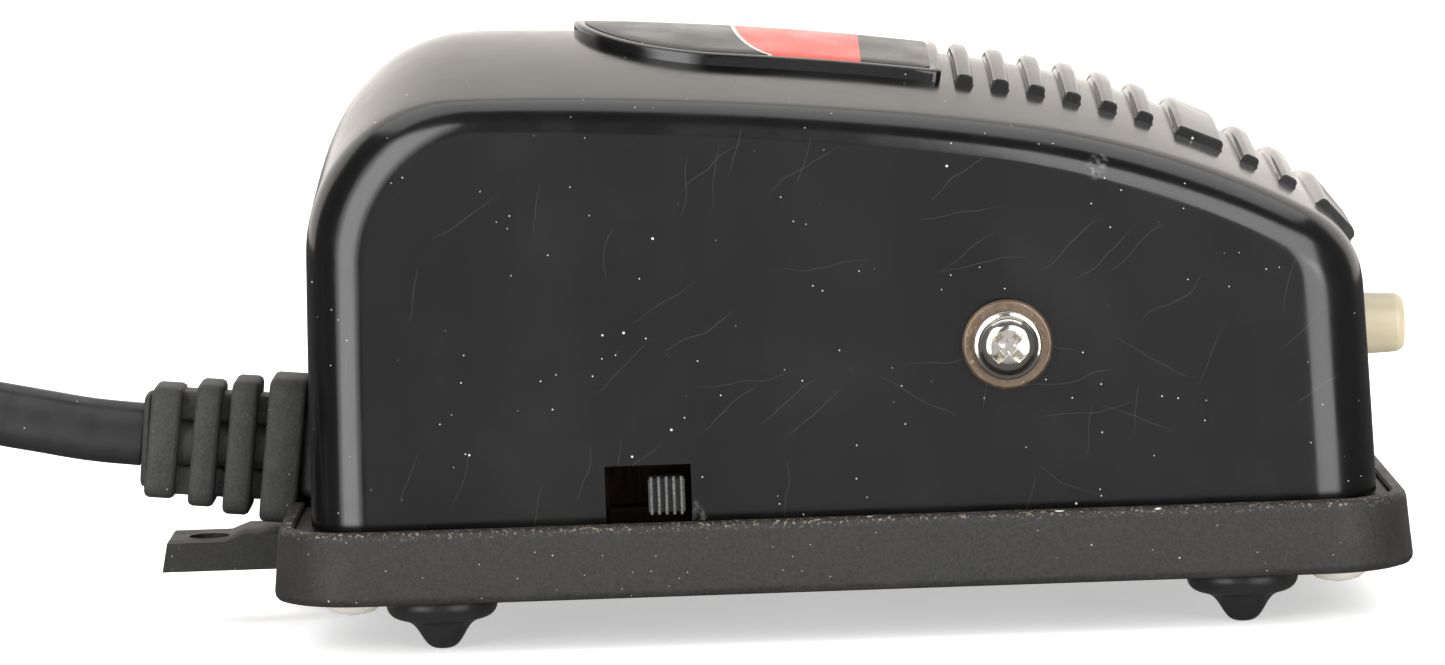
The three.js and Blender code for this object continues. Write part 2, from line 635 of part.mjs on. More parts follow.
// ---- cord: from the boot to the coil, the coil, and on to the plug ----
const LEAD_ROUTE = [
  [-56.7, 0, 17],
  [-61.2, 0, 17.6],
  [-66.6, 0, 18.7],
  [-72, 0, 19.7],
  [-77, -0.1, 19.8],
  [-82, -0.8, 18.2],
  [-87, -2.2, 15.3],
  [-91.5, -4.3, 12.1],
  [-95.8, -7, 9.3],
  [-100, -10.2, 7],
];
const TAIL_ROUTE = [
  [-117, 43.6, 10.6],
  [-109.5, 41, 12],
  [-102.2, 36.2, 13.4],
  [-96, 29.2, 14.9],
  [-92.4, 20.5, 16.5],
  [-93.2, 10.8, 18],
  [-98.4, 2, 19.1],
  [-106.3, -4.4, 19.5],
  [-111, -5.8, 19.55],
  [-115.4, -6, 19.55],
];
function ring(grow) {
  const { inner, outer, z0, height } = COIL;
  const [r0, r1, a, b] = [inner - grow, outer + grow, z0 - grow, z0 + height + grow];
  const outline = [[r0, a], [r1, a], [r1, b], [r0, b], [r0, a]];
  const g = new THREE.LatheGeometry(outline.map(([r, z]) => new THREE.Vector2(r, z)), 48);
  return solid(g.rotateX(Math.PI / 2).translate(COIL.x, COIL.y, 0));
}
const cordTube = (points, steps) =>
  tube(points, CORD.thick / 2, CORD.wide / 2, 10, steps).subtract(ring(GAP));
add("cord_lead", cordTube(LEAD_ROUTE, 14), MATT_BLACK(), root);
add("cord_tail", cordTube(TAIL_ROUTE, 14), MATT_BLACK(), root);
add("cord_coil", ring(0), MATT_BLACK(), root);

// The tie goes round the coil's section on the side away from the pump.
function cordTie() {
  const { inner, outer, z0, height } = COIL;
  const [a, b, thick, wide] = [inner - 0.4, outer + GAP, 0.5, 4];
  const x = COIL.x;
  const [y0, y1, z1] = [COIL.y + a, COIL.y + b, z0 + height + GAP];
  const around = box(x - wide / 2, x + wide / 2, y0 - thick, y1 + thick, 0.1, z1 + thick);
  return around.subtract(box(x - wide, x + wide, y0, y1, z0 - GAP, z1));
}
add("cord_tie", cordTie(), paint(0xe8e6e0, 0.6), root);

// ---- plug: a flat two-pin plug lying on the coil, pins towards -X ----
const plugZ = COIL.z0 + COIL.height + GAP + PLUG.thick / 2;
function plugBody() {
  const w = PLUG.wide / 2;
  const s = new THREE.Shape();
  s.moveTo(0, -4.5);
  s.lineTo(0, 4.5);
  s.bezierCurveTo(-7, 5.5, -8, w - 5, -13, w - 2.5);
  s.lineTo(-18, w);
  s.lineTo(-PLUG.length, w);
  s.lineTo(-PLUG.length, -w);
  s.lineTo(-18, -w);
  s.lineTo(-13, 2.5 - w);
  s.bezierCurveTo(-8, 5 - w, -7, -5.5, 0, -4.5);
  const round = 2;
  const g = new THREE.ExtrudeGeometry(s, {
    depth: PLUG.thick - 2 * round,
    bevelThickness: round,
    bevelSize: round,
    bevelOffset: -round,
    bevelSegments: 3,
    curveSegments: 6,
  });
  return solid(g.translate(PLUG.x, PLUG.y, plugZ - PLUG.thick / 2 + round));
}
add("plug_body", plugBody(), MATT_BLACK(), root);
const pinProfile = [
  [0, GAP],
  [1.9, GAP],
  [1.9, 10],
  [PLUG.pinR, 10.2],
  [PLUG.pinR, PLUG.pin - 1],
  [1.2, PLUG.pin],
  [0, PLUG.pin],
];
for (const [n, side] of [[1, -1], [2, 1]]) {
  const pin = turned(pinProfile, 16).rotateY(-Math.PI / 2);
  add(`plug_pin_${n}`, pin, STEEL(), root).position.set(
    PLUG.x - PLUG.length,
    PLUG.y + (side * PLUG.pitch) / 2,
    plugZ,
  );
}

export default root;
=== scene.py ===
"""A single-outlet aquarium air pump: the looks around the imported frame.

Lengths in this script are millimetres unless a name says otherwise; new_object() turns them into metres.
+X points out of the outlet nozzle, -Y is the side with the switch, +Z is up and z = 0 is the foot tips.
"""
import math

import bmesh
import bpy
from mathutils import Matrix, Vector
from mathutils.geometry import interpolate_bezier


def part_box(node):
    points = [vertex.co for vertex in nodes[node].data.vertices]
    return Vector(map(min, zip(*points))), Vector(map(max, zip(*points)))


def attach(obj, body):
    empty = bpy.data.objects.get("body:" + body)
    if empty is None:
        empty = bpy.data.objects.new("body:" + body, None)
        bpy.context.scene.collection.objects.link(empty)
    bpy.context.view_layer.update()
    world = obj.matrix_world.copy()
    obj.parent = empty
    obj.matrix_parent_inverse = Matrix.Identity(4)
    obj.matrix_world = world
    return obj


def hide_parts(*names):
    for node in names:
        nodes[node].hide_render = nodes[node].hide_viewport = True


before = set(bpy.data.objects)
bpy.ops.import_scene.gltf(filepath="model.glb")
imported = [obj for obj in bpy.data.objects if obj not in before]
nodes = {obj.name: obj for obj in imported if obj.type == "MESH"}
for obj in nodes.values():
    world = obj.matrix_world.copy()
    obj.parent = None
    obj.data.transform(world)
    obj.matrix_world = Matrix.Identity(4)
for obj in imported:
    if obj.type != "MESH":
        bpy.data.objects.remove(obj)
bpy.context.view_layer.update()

MM = 0.001
scene = bpy.context.scene


class Box:
    """A CAD node's box, in millimetres."""

    def __init__(self, node):
        low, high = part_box(node)
        self.low = Vector(low) / MM
        self.high = Vector(high) / MM
        self.mid = (self.low + self.high) / 2
        self.size = self.high - self.low


# ---- camera
CAMERA_AIM = Vector((0, 0, 28.45))
CAMERA_DISTANCE = 600.9
CAMERA_ELEVATION = math.radians(5.12)
CAMERA_AZIMUTH = math.radians(-0.415)
CAMERA_ROLL = math.radians(-1.92)


def add_camera():
    data = bpy.data.cameras.new("camera")
    data.sensor_width = 36
    data.lens = 169.3
    data.shift_x = -0.0391
    data.shift_y = -0.0339
    data.clip_start = 0.01
    camera = bpy.data.objects.new("camera", data)
    scene.collection.objects.link(camera)
    flat = math.cos(CAMERA_ELEVATION)
    forward = Vector(
        (-math.sin(CAMERA_AZIMUTH) * flat, math.cos(CAMERA_AZIMUTH) * flat, -math.sin(CAMERA_ELEVATION))
    )
    turn = forward.to_track_quat("-Z", "Y").to_matrix().to_4x4()
    stand = Matrix.Translation((CAMERA_AIM - forward * CAMERA_DISTANCE) * MM)
    camera.matrix_world = stand @ turn @ Matrix.Rotation(CAMERA_ROLL, 4, "Z")
    scene.camera = camera


add_camera()


# ---- shader building
class Shader:
    """A material's node tree. Its place is the point on the object in millimetres."""

    def __init__(self, name):
        self.material = bpy.data.materials.new(name)
        self.material.use_nodes = True
        self.tree = self.material.node_tree
        self.surface = self.tree.nodes["Principled BSDF"]
        self.coordinates = self.node("ShaderNodeTexCoord")
        scaled = self.node("ShaderNodeMapping")
        scaled.inputs["Scale"].default_value = (1 / MM, 1 / MM, 1 / MM)
        self.join(self.coordinates.outputs["Object"], scaled.inputs["Vector"])
        self.place = scaled.outputs["Vector"]

    def node(self, kind):
        return self.tree.nodes.new(kind)

    def join(self, source, target):
        """Links a socket, or sets a plain value."""
        if isinstance(source, bpy.types.NodeSocket):
            self.tree.links.new(source, target)
        else:
            target.default_value = source

    def maths(self, operation, a, b=0.0, clamp=False):
        n = self.node("ShaderNodeMath")
        n.operation = operation
        n.use_clamp = clamp
        self.join(a, n.inputs[0])
        self.join(b, n.inputs[1])
        return n.outputs[0]

    def times(self, a, b):
        return self.maths("MULTIPLY", a, b)

    def vector_maths(self, operation, *values):
        n = self.node("ShaderNodeVectorMath")
        n.operation = operation
        for value, socket in zip(values, n.inputs):
            self.join(value, socket)
        return n.outputs[0]

    def rotated(self, source, turn):
        """The vector, turned by an angle in degrees about each axis."""
        n = self.node("ShaderNodeVectorRotate")
        n.rotation_type = "EULER_XYZ"
        n.inputs["Rotation"].default_value = [math.radians(a) for a in turn]
        self.join(source, n.inputs["Vector"])
        return n.outputs[0]

    def stretched(self, scale, turn=(0, 0, 0), bend=0.0):
        """The place, turned by turn (degrees) and scaled; bend waves it by that many millimetres."""
        source = self.place
        if bend:
            wave = self.node("ShaderNodeTexNoise")
            wave.inputs["Scale"].default_value = 0.12
            self.join(source, wave.inputs["Vector"])
            source = self.vector_maths("MULTIPLY_ADD", wave.outputs["Color"], (bend, bend, bend), source)
        return self.vector_maths("MULTIPLY", self.rotated(source, turn), scale)

    def noise(self, size, detail=3.0, rough=0.55, stretch=(1, 1, 1)):
        """Cloudy noise, 0 to 1, with features about size millimetres across."""
        n = self.node("ShaderNodeTexNoise")
        n.inputs["Scale"].default_value = 1 / size
        n.inputs["Detail"].default_value = detail
        n.inputs["Roughness"].default_value = rough
        source = self.place if stretch == (1, 1, 1) else self.stretched(stretch)
        self.join(source, n.inputs["Vector"])
        return n.outputs["Fac"]

    def step(self, value, low, high, start=0.0, end=1.0):
        """start below low, end above high, and smooth between."""
        n = self.node("ShaderNodeMapRange")
        n.interpolation_type = "SMOOTHSTEP"
        self.join(value, n.inputs["Value"])
        for name, x in (("From Min", low), ("From Max", high), ("To Min", start), ("To Max", end)):
            self.join(x, n.inputs[name])
        return n.outputs["Result"]

    def spots(self, source, edge, core, share, dimensions="3D"):
        """1 near the middles of a share of the cells, fading out between core and 1 times edge."""
        n = self.node("ShaderNodeTexVoronoi")
        n.voronoi_dimensions = dimensions
        n.inputs["Scale"].default_value = 1
        self.join(source, n.inputs["Vector"])
        pick = self.node("ShaderNodeSeparateColor")
        self.join(n.outputs["Color"], pick.inputs[0])
        kept = self.maths("LESS_THAN", pick.outputs[0], share)
        return self.times(self.step(n.outputs["Distance"], edge, edge * core), kept)

    def specks(self, radius, spacing, share, stretch=(1, 1, 1), turn=(0, 0, 0), bend=0.0):
        """1 inside small scattered specks; a stretch below 1 draws them out into strokes."""
        scale = [s / spacing for s in stretch]
        return self.spots(self.stretched(scale, turn, bend), radius / spacing, 0.6, share)

    def strokes(self, radius, long, spacing, share, angle, bend=3.5):
        """1 inside thin scratches of half length long that lie in the XZ plane, angle degrees from X."""
        flat = self.rotated(self.stretched((1, 1, 1), (0, angle, 0), bend), (-90, 0, 0))
        squeezed = self.vector_maths("MULTIPLY", flat, (radius / long / spacing, 1 / spacing, 0))
        return self.spots(squeezed, radius / spacing, 0.5, share, "2D")

    def split(self, vector, name):
        """The vector's X, Y or Z."""
        n = self.node("ShaderNodeSeparateXYZ")
        self.join(vector, n.inputs[0])
        return n.outputs[name]

    def facing(self, name):
        """1 where the surface faces along the object's own axis, either way."""
        normal = self.coordinates.outputs["Normal"]
        return self.step(self.maths("ABSOLUTE", self.split(normal, name)), 0.8, 0.95)

    def axis(self, name):
        """The place's X, Y or Z, in millimetres."""
        return self.split(self.place, name)

    def mix(self, amount, a, b):
        n = self.node("ShaderNodeMix")
        n.data_type = "RGBA"
        sockets = {x.identifier: x for x in [*n.inputs, *n.outputs]}
        self.join(amount, sockets["Factor_Float"])
        for colour, socket in ((a, sockets["A_Color"]), (b, sockets["B_Color"])):
            self.join(colour if isinstance(colour, bpy.types.NodeSocket) else (*colour, 1), socket)
        return sockets["Result_Color"]

    def over(self, colour, mask, amount, tint):
        """The colour with a tint laid over it where mask is 1, as strong as amount."""
        return self.mix(self.times(mask, amount), colour, tint)

    def colour(self, value):
        self.join(value, self.surface.inputs["Base Color"])

    def set(self, **values):
        """Plain or linked values for the surface's inputs; _ in a name stands for a space."""
        for name, value in values.items():
            self.join(value, self.surface.inputs[name.replace("_", " ")])

    def bump(self, *heights):
        """Heights are (value, depth in millimetres) pairs."""
        normal = None
        for value, depth in heights:
            n = self.node("ShaderNodeBump")
            n.inputs["Strength"].default_value = 1
            n.inputs["Distance"].default_value = depth * MM
            self.join(value, n.inputs["Height"])
            if normal is not None:
                self.join(normal, n.inputs["Normal"])
            normal = n.outputs["Normal"]
        self.join(normal, self.surface.inputs["Normal"])


def plastic_shader(name, colour, rough, grain=0.25, depth=0.012, vary=0.18):
    """Moulded plastic or rubber with a fine grain and slightly uneven colour and gloss."""
    s = Shader(name)
    darker = [c * (1 - vary) for c in colour]
    lighter = [c * (1 + vary) for c in colour]
    s.colour(s.mix(s.noise(4.0), darker, lighter))
    s.set(Roughness=s.step(s.noise(1.5), 0.3, 0.7, rough * 0.85, min(1, rough * 1.15)))
    s.bump((s.noise(grain, 2), depth))
    return s


def plain_plastic(*look):
    return plastic_shader(*look).material


def plain_metal(name, colour, rough, brushed=(1, 1, 1)):
    """Plated or bare metal with fine drawing marks."""
    s = Shader(name)
    s.colour(s.mix(s.noise(1.2, 4, 0.6, brushed), [c * 0.86 for c in colour], colour))
    s.set(Metallic=1.0, Roughness=s.step(s.noise(0.4, 3, 0.6, brushed), 0.3, 0.7, rough * 0.7, rough * 1.4))
    s.bump((s.noise(0.25, 2, 0.5, brushed), 0.004))
    return s.material


# ---- mesh building
def new_object(name, points, faces, material, smooth=True):
    """An object from points in millimetres."""
    mesh = bpy.data.meshes.new(name)
    mesh.from_pydata([Vector(p) * MM for p in points], [], faces)
    mesh.validate()
    mesh.update()
    work = bmesh.new()
    work.from_mesh(mesh)
    bmesh.ops.remove_doubles(work, verts=work.verts, dist=0.0005 * MM)
    bmesh.ops.recalc_face_normals(work, faces=work.faces)
    work.to_mesh(mesh)
    work.free()
    for polygon in mesh.polygons:
        polygon.use_smooth = smooth
    mesh.materials.append(material)
    thing = bpy.data.objects.new(name, mesh)
    scene.collection.objects.link(thing)
    return thing


def loft(rings, cap_start=True, cap_end=True):
    """Points and faces of a skin over closed rings with equal numbers of points."""
    count = len(rings[0])
    points = [p for ring in rings for p in ring]
    faces = []
    for r in range(len(rings) - 1):
        for k in range(count):
            a = r * count + k
            b = r * count + (k + 1) % count
            faces.append((a, b, b + count, a + count))
    if cap_start:
        faces.append(tuple(range(count)))
    if cap_end:
        faces.append(tuple(range((len(rings) - 1) * count, len(rings) * count)))
    return points, faces


def joined(parts):
    """One list of points and faces from several."""
    points, faces = [], []
    for more_points, more_faces in parts:
        shift = len(points)
        points += list(more_points)
        faces += [tuple(i + shift for i in face) for face in more_faces]
    return points, faces


def moved(part, matrix):
    points, faces = part
    return [matrix @ Vector(p) for p in points], faces


def shift(x=0, y=0, z=0):
    return Matrix.Translation((x, y, z))


def arc(x, y, radius_x, radius_y, start, end, steps):
    """Points on a circle or an ellipse round x, y, from one angle in degrees to another."""
    angles = [math.radians(start + (end - start) * k / steps) for k in range(steps + 1)]
    return [(x + radius_x * math.cos(a), y + radius_y * math.sin(a)) for a in angles]


def turned(profile, segments=64, caps=True):
    """A turned skin about Z from (radius, height) pairs."""
    rings = []
    for radius, height in profile:
        r = max(radius, 0.001)
        circle = arc(0, 0, r, r, 0, 360, segments)[:-1]
        rings.append([(x, y, height) for x, y in circle])
    return loft(rings, caps, caps)


def rounded_profile(corners, radius, steps=5):
    """A (radius, height) profile with its inner corners rounded."""
    out = [Vector(corners[0])]
    for before, corner, after in zip(corners, corners[1:], corners[2:]):
        before, corner, after = Vector(before), Vector(corner), Vector(after)
        into, away = corner - before, after - corner
        reach = min(radius, into.length * 0.45, away.length * 0.45)
        start = corner - into.normalized() * reach
        end = corner + away.normalized() * reach
        for k in range(steps + 1):
            t = k / steps
            out.append(start.lerp(corner, t).lerp(corner.lerp(end, t), t))
    out.append(Vector(corners[-1]))
    return [tuple(p) for p in out]


def rounded_rectangle(half_x, half_y, radius, steps=6):
    """Points (x, y) round a rectangle with round corners, anticlockwise."""
    out = []
    for quarter, (sx, sy) in enumerate(((1, 1), (-1, 1), (-1, -1), (1, -1))):
        x, y = sx * (half_x - radius), sy * (half_y - radius)
        out += arc(x, y, radius, radius, 90 * quarter, 90 * quarter + 90, steps)
    return out


def block(x0, x1, y0, y1, z0, z1):
    """Points and faces of a plain block, for joining or cutting."""
    rings = [[(x0, y0, z), (x1, y0, z), (x1, y1, z), (x0, y1, z)] for z in (z0, z1)]
    return loft(rings)


def along(axis):
    """The matrix that turns a piece made about Z to lie along X or -Y."""
    if axis == "x":
        return Matrix.Rotation(math.pi / 2, 4, "Y")
    return Matrix.Rotation(math.pi / 2, 4, "X")


def bake_modifiers(thing):
    """Turns the object's modifiers into its own mesh."""
    bpy.context.view_layer.update()
    shape = thing.evaluated_get(bpy.context.evaluated_depsgraph_get())
    mesh = bpy.data.meshes.new_from_object(shape)
    old = thing.data
    thing.modifiers.clear()
    thing.data = mesh
    bpy.data.meshes.remove(old)


def carve(thing, part, operation="DIFFERENCE"):
    """Cuts or joins a part (points and faces) with the object."""
    tool = new_object("tool", *part, thing.data.materials[0], smooth=False)
    change = thing.modifiers.new("carve", "BOOLEAN")
    change.operation = operation
    change.object = tool
    change.solver = "EXACT"
    bake_modifiers(thing)
    bpy.data.objects.remove(tool)


def sharpen(thing, degrees):
    """Keeps the edges that turn by more than this angle sharp."""
    thing.data.set_sharp_from_angle(angle=math.radians(degrees))


def subdivide(thing):
    fine = thing.modifiers.new("fine", "SUBSURF")
    fine.levels = 1
    fine.render_levels = 2


def soften(thing, width, segments=3, angle=35):
    """Rounds the sharp edges and keeps flat faces flat."""
    edge = thing.modifiers.new("edges", "BEVEL")
    edge.width = width * MM
    edge.segments = segments
    edge.limit_method = "ANGLE"
    edge.angle_limit = math.radians(angle)
    edge.use_clamp_overlap = True
    edge.miter_outer = "MITER_ARC"
    normals = thing.modifiers.new("normals", "WEIGHTED_NORMAL")
    normals.keep_sharp = True
    return thing


def place(thing, slot, *replaced, body="pump"):
    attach(thing, body)
    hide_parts(*replaced)
    return thing


# ---- cord
CORD_WIDE, CORD_THICK = 5.6, 3.4
# The cord's middle from the boot to the coil, and from the coil to the plug.
LEAD_ROUTE = [
    (-56.7, 0, 17), (-61.2, 0, 17.6), (-66.6, 0, 18.7), (-72, 0, 19.7), (-77, -0.1, 19.8),
    (-82, -0.8, 18.2), (-87, -2.2, 15.3), (-91.5, -4.3, 12.1), (-95.8, -7, 9.3),
]
TAIL_ROUTE = [
    (-117, 43.6, 10.6), (-109.5, 41, 12), (-102.2, 36.2, 13.4), (-96, 29.2, 14.9), (-92.4, 20.5, 16.5),
    (-93.2, 10.8, 18), (-98.4, 2, 19.1), (-106.3, -4.4, 19.5), (-111, -5.8, 19.55), (-115.4, -6, 19.55),
]
COIL_START = -45  # degrees round the coil where the lead joins it
COIL_TURN = 2023  # degrees, clockwise from above, to where the tail leaves it
COIL_STEP = 20  # degrees between points
COIL_JOIN_Z = 6.5  # the cord's height where the lead joins


def smooth(t):
    """0 up to t = 0, 1 from t = 1, and a soft rise between."""
    t = min(1, max(0, t))
    return t * t * (3 - 2 * t)


def coil_point(turn):
    """A point of the coil: three columns down in the lower layer, then the same three above."""
    coil = Box("cord_coil")
    outer = coil.size.x / 2 - CORD_THICK / 2 - 0.3
    pitch = CORD_THICK + 0.1
    crossing_from, crossing_long, joining = -10, 50, 35  # degrees
    low = coil.low.z + CORD_WIDE / 2
    high = coil.high.z - CORD_WIDE / 2 - 0.2
    lanes = [(outer, low), (outer - pitch, low), (outer - 2 * pitch, low)]
    lanes += [(r, high) for r, _ in reversed(lanes)]
    radius, height = lanes[0]
    for k in range(1, len(lanes)):
        t = smooth((turn - 360 * k - crossing_from) / crossing_long)
        radius += (lanes[k][0] - lanes[k - 1][0]) * t
        height += (lanes[k][1] - lanes[k - 1][1]) * t
    height += (COIL_JOIN_Z - low) * (1 - smooth(turn / joining))
    angle = math.radians(COIL_START - turn)
    return (coil.mid.x + radius * math.cos(angle), coil.mid.y + radius * math.sin(angle), height)


def curve_length(spline):
    total = 0
    for a, b in zip(spline.bezier_points[:-1], spline.bezier_points[1:]):
        steps = interpolate_bezier(a.co, a.handle_right, b.handle_left, b.co, 16)
        total += sum((q - p).length for p, q in zip(steps[:-1], steps[1:]))
    return total


def new_spline(curve, points):
    """A smooth spline through points in millimetres."""
    spline = curve.splines.new("BEZIER")
    spline.bezier_points.add(len(points) - 1)
    for point, at in zip(spline.bezier_points, points):
        point.co = Vector(at) * MM
        point.handle_left_type = "AUTO"
        point.handle_right_type = "AUTO"
    return spline


def cord_section():
    """A flat two-core section: two round lobes with a shallow waist between them."""
    curve = bpy.data.curves.new("cord_section", "CURVE")
    core = CORD_THICK / 2
    lobe = CORD_WIDE / 2 - core
    waist = 0.14
    points = []
    for side in (1, -1):
        points += arc(0, side * lobe, core, core, side * 90 - 60, side * 90 + 60, 4)
        points.append((-side * (core - waist), 0))
    spline = new_spline(curve, [(x, y, 0) for x, y in points])
    spline.use_cyclic_u = True
    curve.resolution_u = 4
    return bpy.data.objects.new("cord_section", curve)


def cord_material():
    s = Shader("cord_pvc")
    dust = s.specks(0.09, 1.6, 0.5)
    base = s.mix(s.noise(6.0), (0.008, 0.008, 0.0083), (0.016, 0.016, 0.0155))
    s.colour(s.over(base, dust, 0.5, (0.45, 0.43, 0.4)))
    s.set(Roughness=s.step(s.noise(2.0, 4), 0.3, 0.7, 0.34, 0.5), Specular_IOR_Level=0.34)
    s.bump((s.noise(3.0, 2, 0.5, (0.25, 1, 1)), 0.05), (s.noise(0.3, 2), 0.008))
    return s.material


def make_cord():
    steps = round(COIL_TURN / COIL_STEP)
    points = list(LEAD_ROUTE)
    points += [coil_point(COIL_TURN * i / steps) for i in range(steps + 1)]
    points += TAIL_ROUTE
    curve = bpy.data.curves.new("power_cord", "CURVE")
    curve.dimensions = "3D"
    curve.resolution_u = 6
    spline = new_spline(curve, points)
    curve.bevel_mode = "OBJECT"
    curve.bevel_object = cord_section()
    curve.use_fill_caps = True
    curve.materials.append(cord_material())
    cord = bpy.data.objects.new("power_cord", curve)
    scene.collection.objects.link(cord)
    bpy.context.view_layer.update()
    place(cord, "cord", "cord_lead", "cord_coil", "cord_tail")
    return cord, curve_length(spline)


power_cord, cord_length = make_cord()


# ---- upper casing
casing_box = Box("upper_casing")
FOOT_RISE = 1.2  # the casing's lower edge is this far under the level its heights are measured from
EDGE_Z = casing_box.low.z + FOOT_RISE
HALF_WIDE = casing_box.high.y
WALL = 2
CROWN_DROP = 5.5  # from the middle of the top to its sides
CROWN_FROM, CROWN_FULL = 9.4, 44.4  # the heights between which the crown sets in
TOP_FILLET, REAR_FILLET, FRONT_FILLET = 2.6, 5.4, 6.0

# The side view as curves of (x, height): rear wall, rear corner, back, slope, front corner, front wall.
CASE_CURVES = [
    [(-40.83, 0), (-40.7, 8), (-40.55, 16), (-40.4, 23.4)],
    [(-40.4, 23.4), (-40.25, 31.9), (-34.7, 39.65), (-26, 39.6)],
    [(-26, 39.6), (-12, 39.5), (8, 37.8), (21.2, 35.1)],
    [(21.2, 35.1), (29.5, 33.4), (38.5, 29.7), (45, 25.2)],
    [(45, 25.2), (48, 23.12), (49.66, 20.6), (49.8, 16.9)],
    [(49.8, 16.9), (50.02, 11.3), (50.24, 5.6), (50.45, 0)],
]
CURVE_STEPS = [8, 28, 26, 26, 16, 8]


def bezier(curve, t):
    """The point and the direction at t on a flat cubic curve."""
    a, b, c, d = (Vector(p) for p in curve)
    s = 1 - t
    point = a * s**3 + b * 3 * s * s * t + c * 3 * s * t * t + d * t**3
    heading = (b - a) * 3 * s * s + (c - b) * 6 * s * t + (d - c) * 3 * t * t
    return point, heading.normalized()


def case_outline():
    """Points of the side view with their outward normals."""
    out = []
    for index, (curve, steps) in enumerate(zip(CASE_CURVES, CURVE_STEPS)):
        for k in range(0 if index == 0 else 1, steps + 1):
            point, heading = bezier(curve, k / steps)
            out.append((point, Vector((-heading.y, heading.x))))
    return out


def top_height(x):
    """Height of the top's middle line above the casing's edge."""
    for curve in CASE_CURVES[1:5]:
        if x <= curve[3][0]:
            low, high = 0.0, 1.0
            for _ in range(30):
                t = (low + high) / 2
                if bezier(curve, t)[0].x < x:
                    low = t
                else:
                    high = t
            return bezier(curve, low)[0].y
    return CASE_CURVES[4][3][1]


def top_slope(x):
    return math.atan2(top_height(x + 0.2) - top_height(x - 0.2), 0.4)


def crown_drop(y, height):
    flat = 4.0  # the crown starts gently over this half width

    def fall(v):
        return (v * v + flat * flat) ** 0.7 - flat**1.4

    return CROWN_DROP * fall(y) / fall(HALF_WIDE) * smooth((height - CROWN_FROM) / (CROWN_FULL - CROWN_FROM))


def on_casing(x, y, above=0.0):
    """The point above the casing's top at x, y."""
    height = top_height(x)
    slope = top_slope(x)
    z = EDGE_Z + height + above * math.cos(slope) - crown_drop(y, height)
    return Vector((x - above * math.sin(slope), y, z))


def section_across(fillet, steps_round=10, steps_flat=30):
    """(y, inset) pairs from the near side face over the top to the far one."""
    flat = HALF_WIDE - fillet
    near = [(-flat - y, fillet - x) for x, y in arc(0, 0, fillet, fillet, 90, 0, steps_round)]
    middle = [(flat * (2 * k / steps_flat - 1), 0.0) for k in range(1, steps_flat)]
    far = [(-y, inset) for y, inset in reversed(near)]
    return near + middle + far


def case_skin():
    """The casing's outer skin, open underneath."""
    outline = case_outline()
    points, faces = [], []
    for index, (point, normal) in enumerate(outline):
        side = REAR_FILLET if normal.x < 0 else FRONT_FILLET
        fillet = TOP_FILLET + (side - TOP_FILLET) * abs(normal.x)
        row = section_across(fillet)
        width = len(row)
        at_edge = index in (0, len(outline) - 1)
        for y, inset in row:
            x = point.x - normal.x * inset
            height = point.y - normal.y * inset
            drop = crown_drop(y, height)
            points.append((x, y, EDGE_Z + (-FOOT_RISE if at_edge else height - drop)))
    for i in range(len(outline) - 1):
        for j in range(width - 1):
            a = i * width + j
            faces.append((a, a + 1, a + width + 1, a + width))
    faces.append(tuple(i * width for i in range(len(outline))))
    faces.append(tuple((i + 1) * width - 1 for i in range(len(outline))))
    return points, faces


def casing_material():
    s = Shader("casing_gloss_black")
    streaks = s.noise(9.0, 3, 0.5, (1, 1, 0.18))
    clouds = s.noise(14.0, 4, 0.6)
    black = s.mix(s.step(streaks, 0.35, 0.65), (0.0024, 0.0024, 0.0026), (0.0040, 0.0039, 0.0038))
    black = s.mix(s.step(clouds, 0.52, 0.75, 0, 0.6), black, (0.0065, 0.0063, 0.0060))
    # Soft pale rubs, then scratches in four directions on the side faces, then lint and dust.
    rubs = s.specks(1.2, 9.0, 0.30, (1, 1, 0.55), (0, 25, 0), 6)
    black = s.over(black, s.times(rubs, s.step(s.noise(0.5), 0.4, 0.7)), 0.22, (0.30, 0.30, 0.29))
    sideways = s.facing("Y")
    scratches = [(35, 0.05, 1.2, 4.5), (-28, 0.045, 1.5, 5.0), (78, 0.045, 1.3, 3.5), (8, 0.04, 1.4, 6.0)]
    for angle, radius, spacing, long in scratches:
        mark = s.times(s.strokes(radius, long, spacing, 0.7, angle), sideways)
        black = s.over(black, mark, 0.065, (0.22, 0.22, 0.21))
    black = s.over(black, s.specks(0.07, 3.2, 0.35, (0.12, 0.4, 1), (0, 50, 0), 25), 0.75, (0.5, 0.49, 0.46))
    dust = s.maths("ADD", s.specks(0.13, 2.7, 0.5), s.specks(0.07, 1.1, 0.45), clamp=True)
    s.colour(s.over(black, dust, 0.8, (0.62, 0.60, 0.56)))
    haze = s.step(s.noise(7.0, 4, 0.6), 0.35, 0.7, 0.15, 0.22)
    s.set(Roughness=s.maths("ADD", haze, s.times(dust, 0.5), clamp=True), IOR=1.5)
    s.bump((s.noise(5.0, 2), 0.012), (s.noise(0.6, 2), 0.0016))
    return s.material


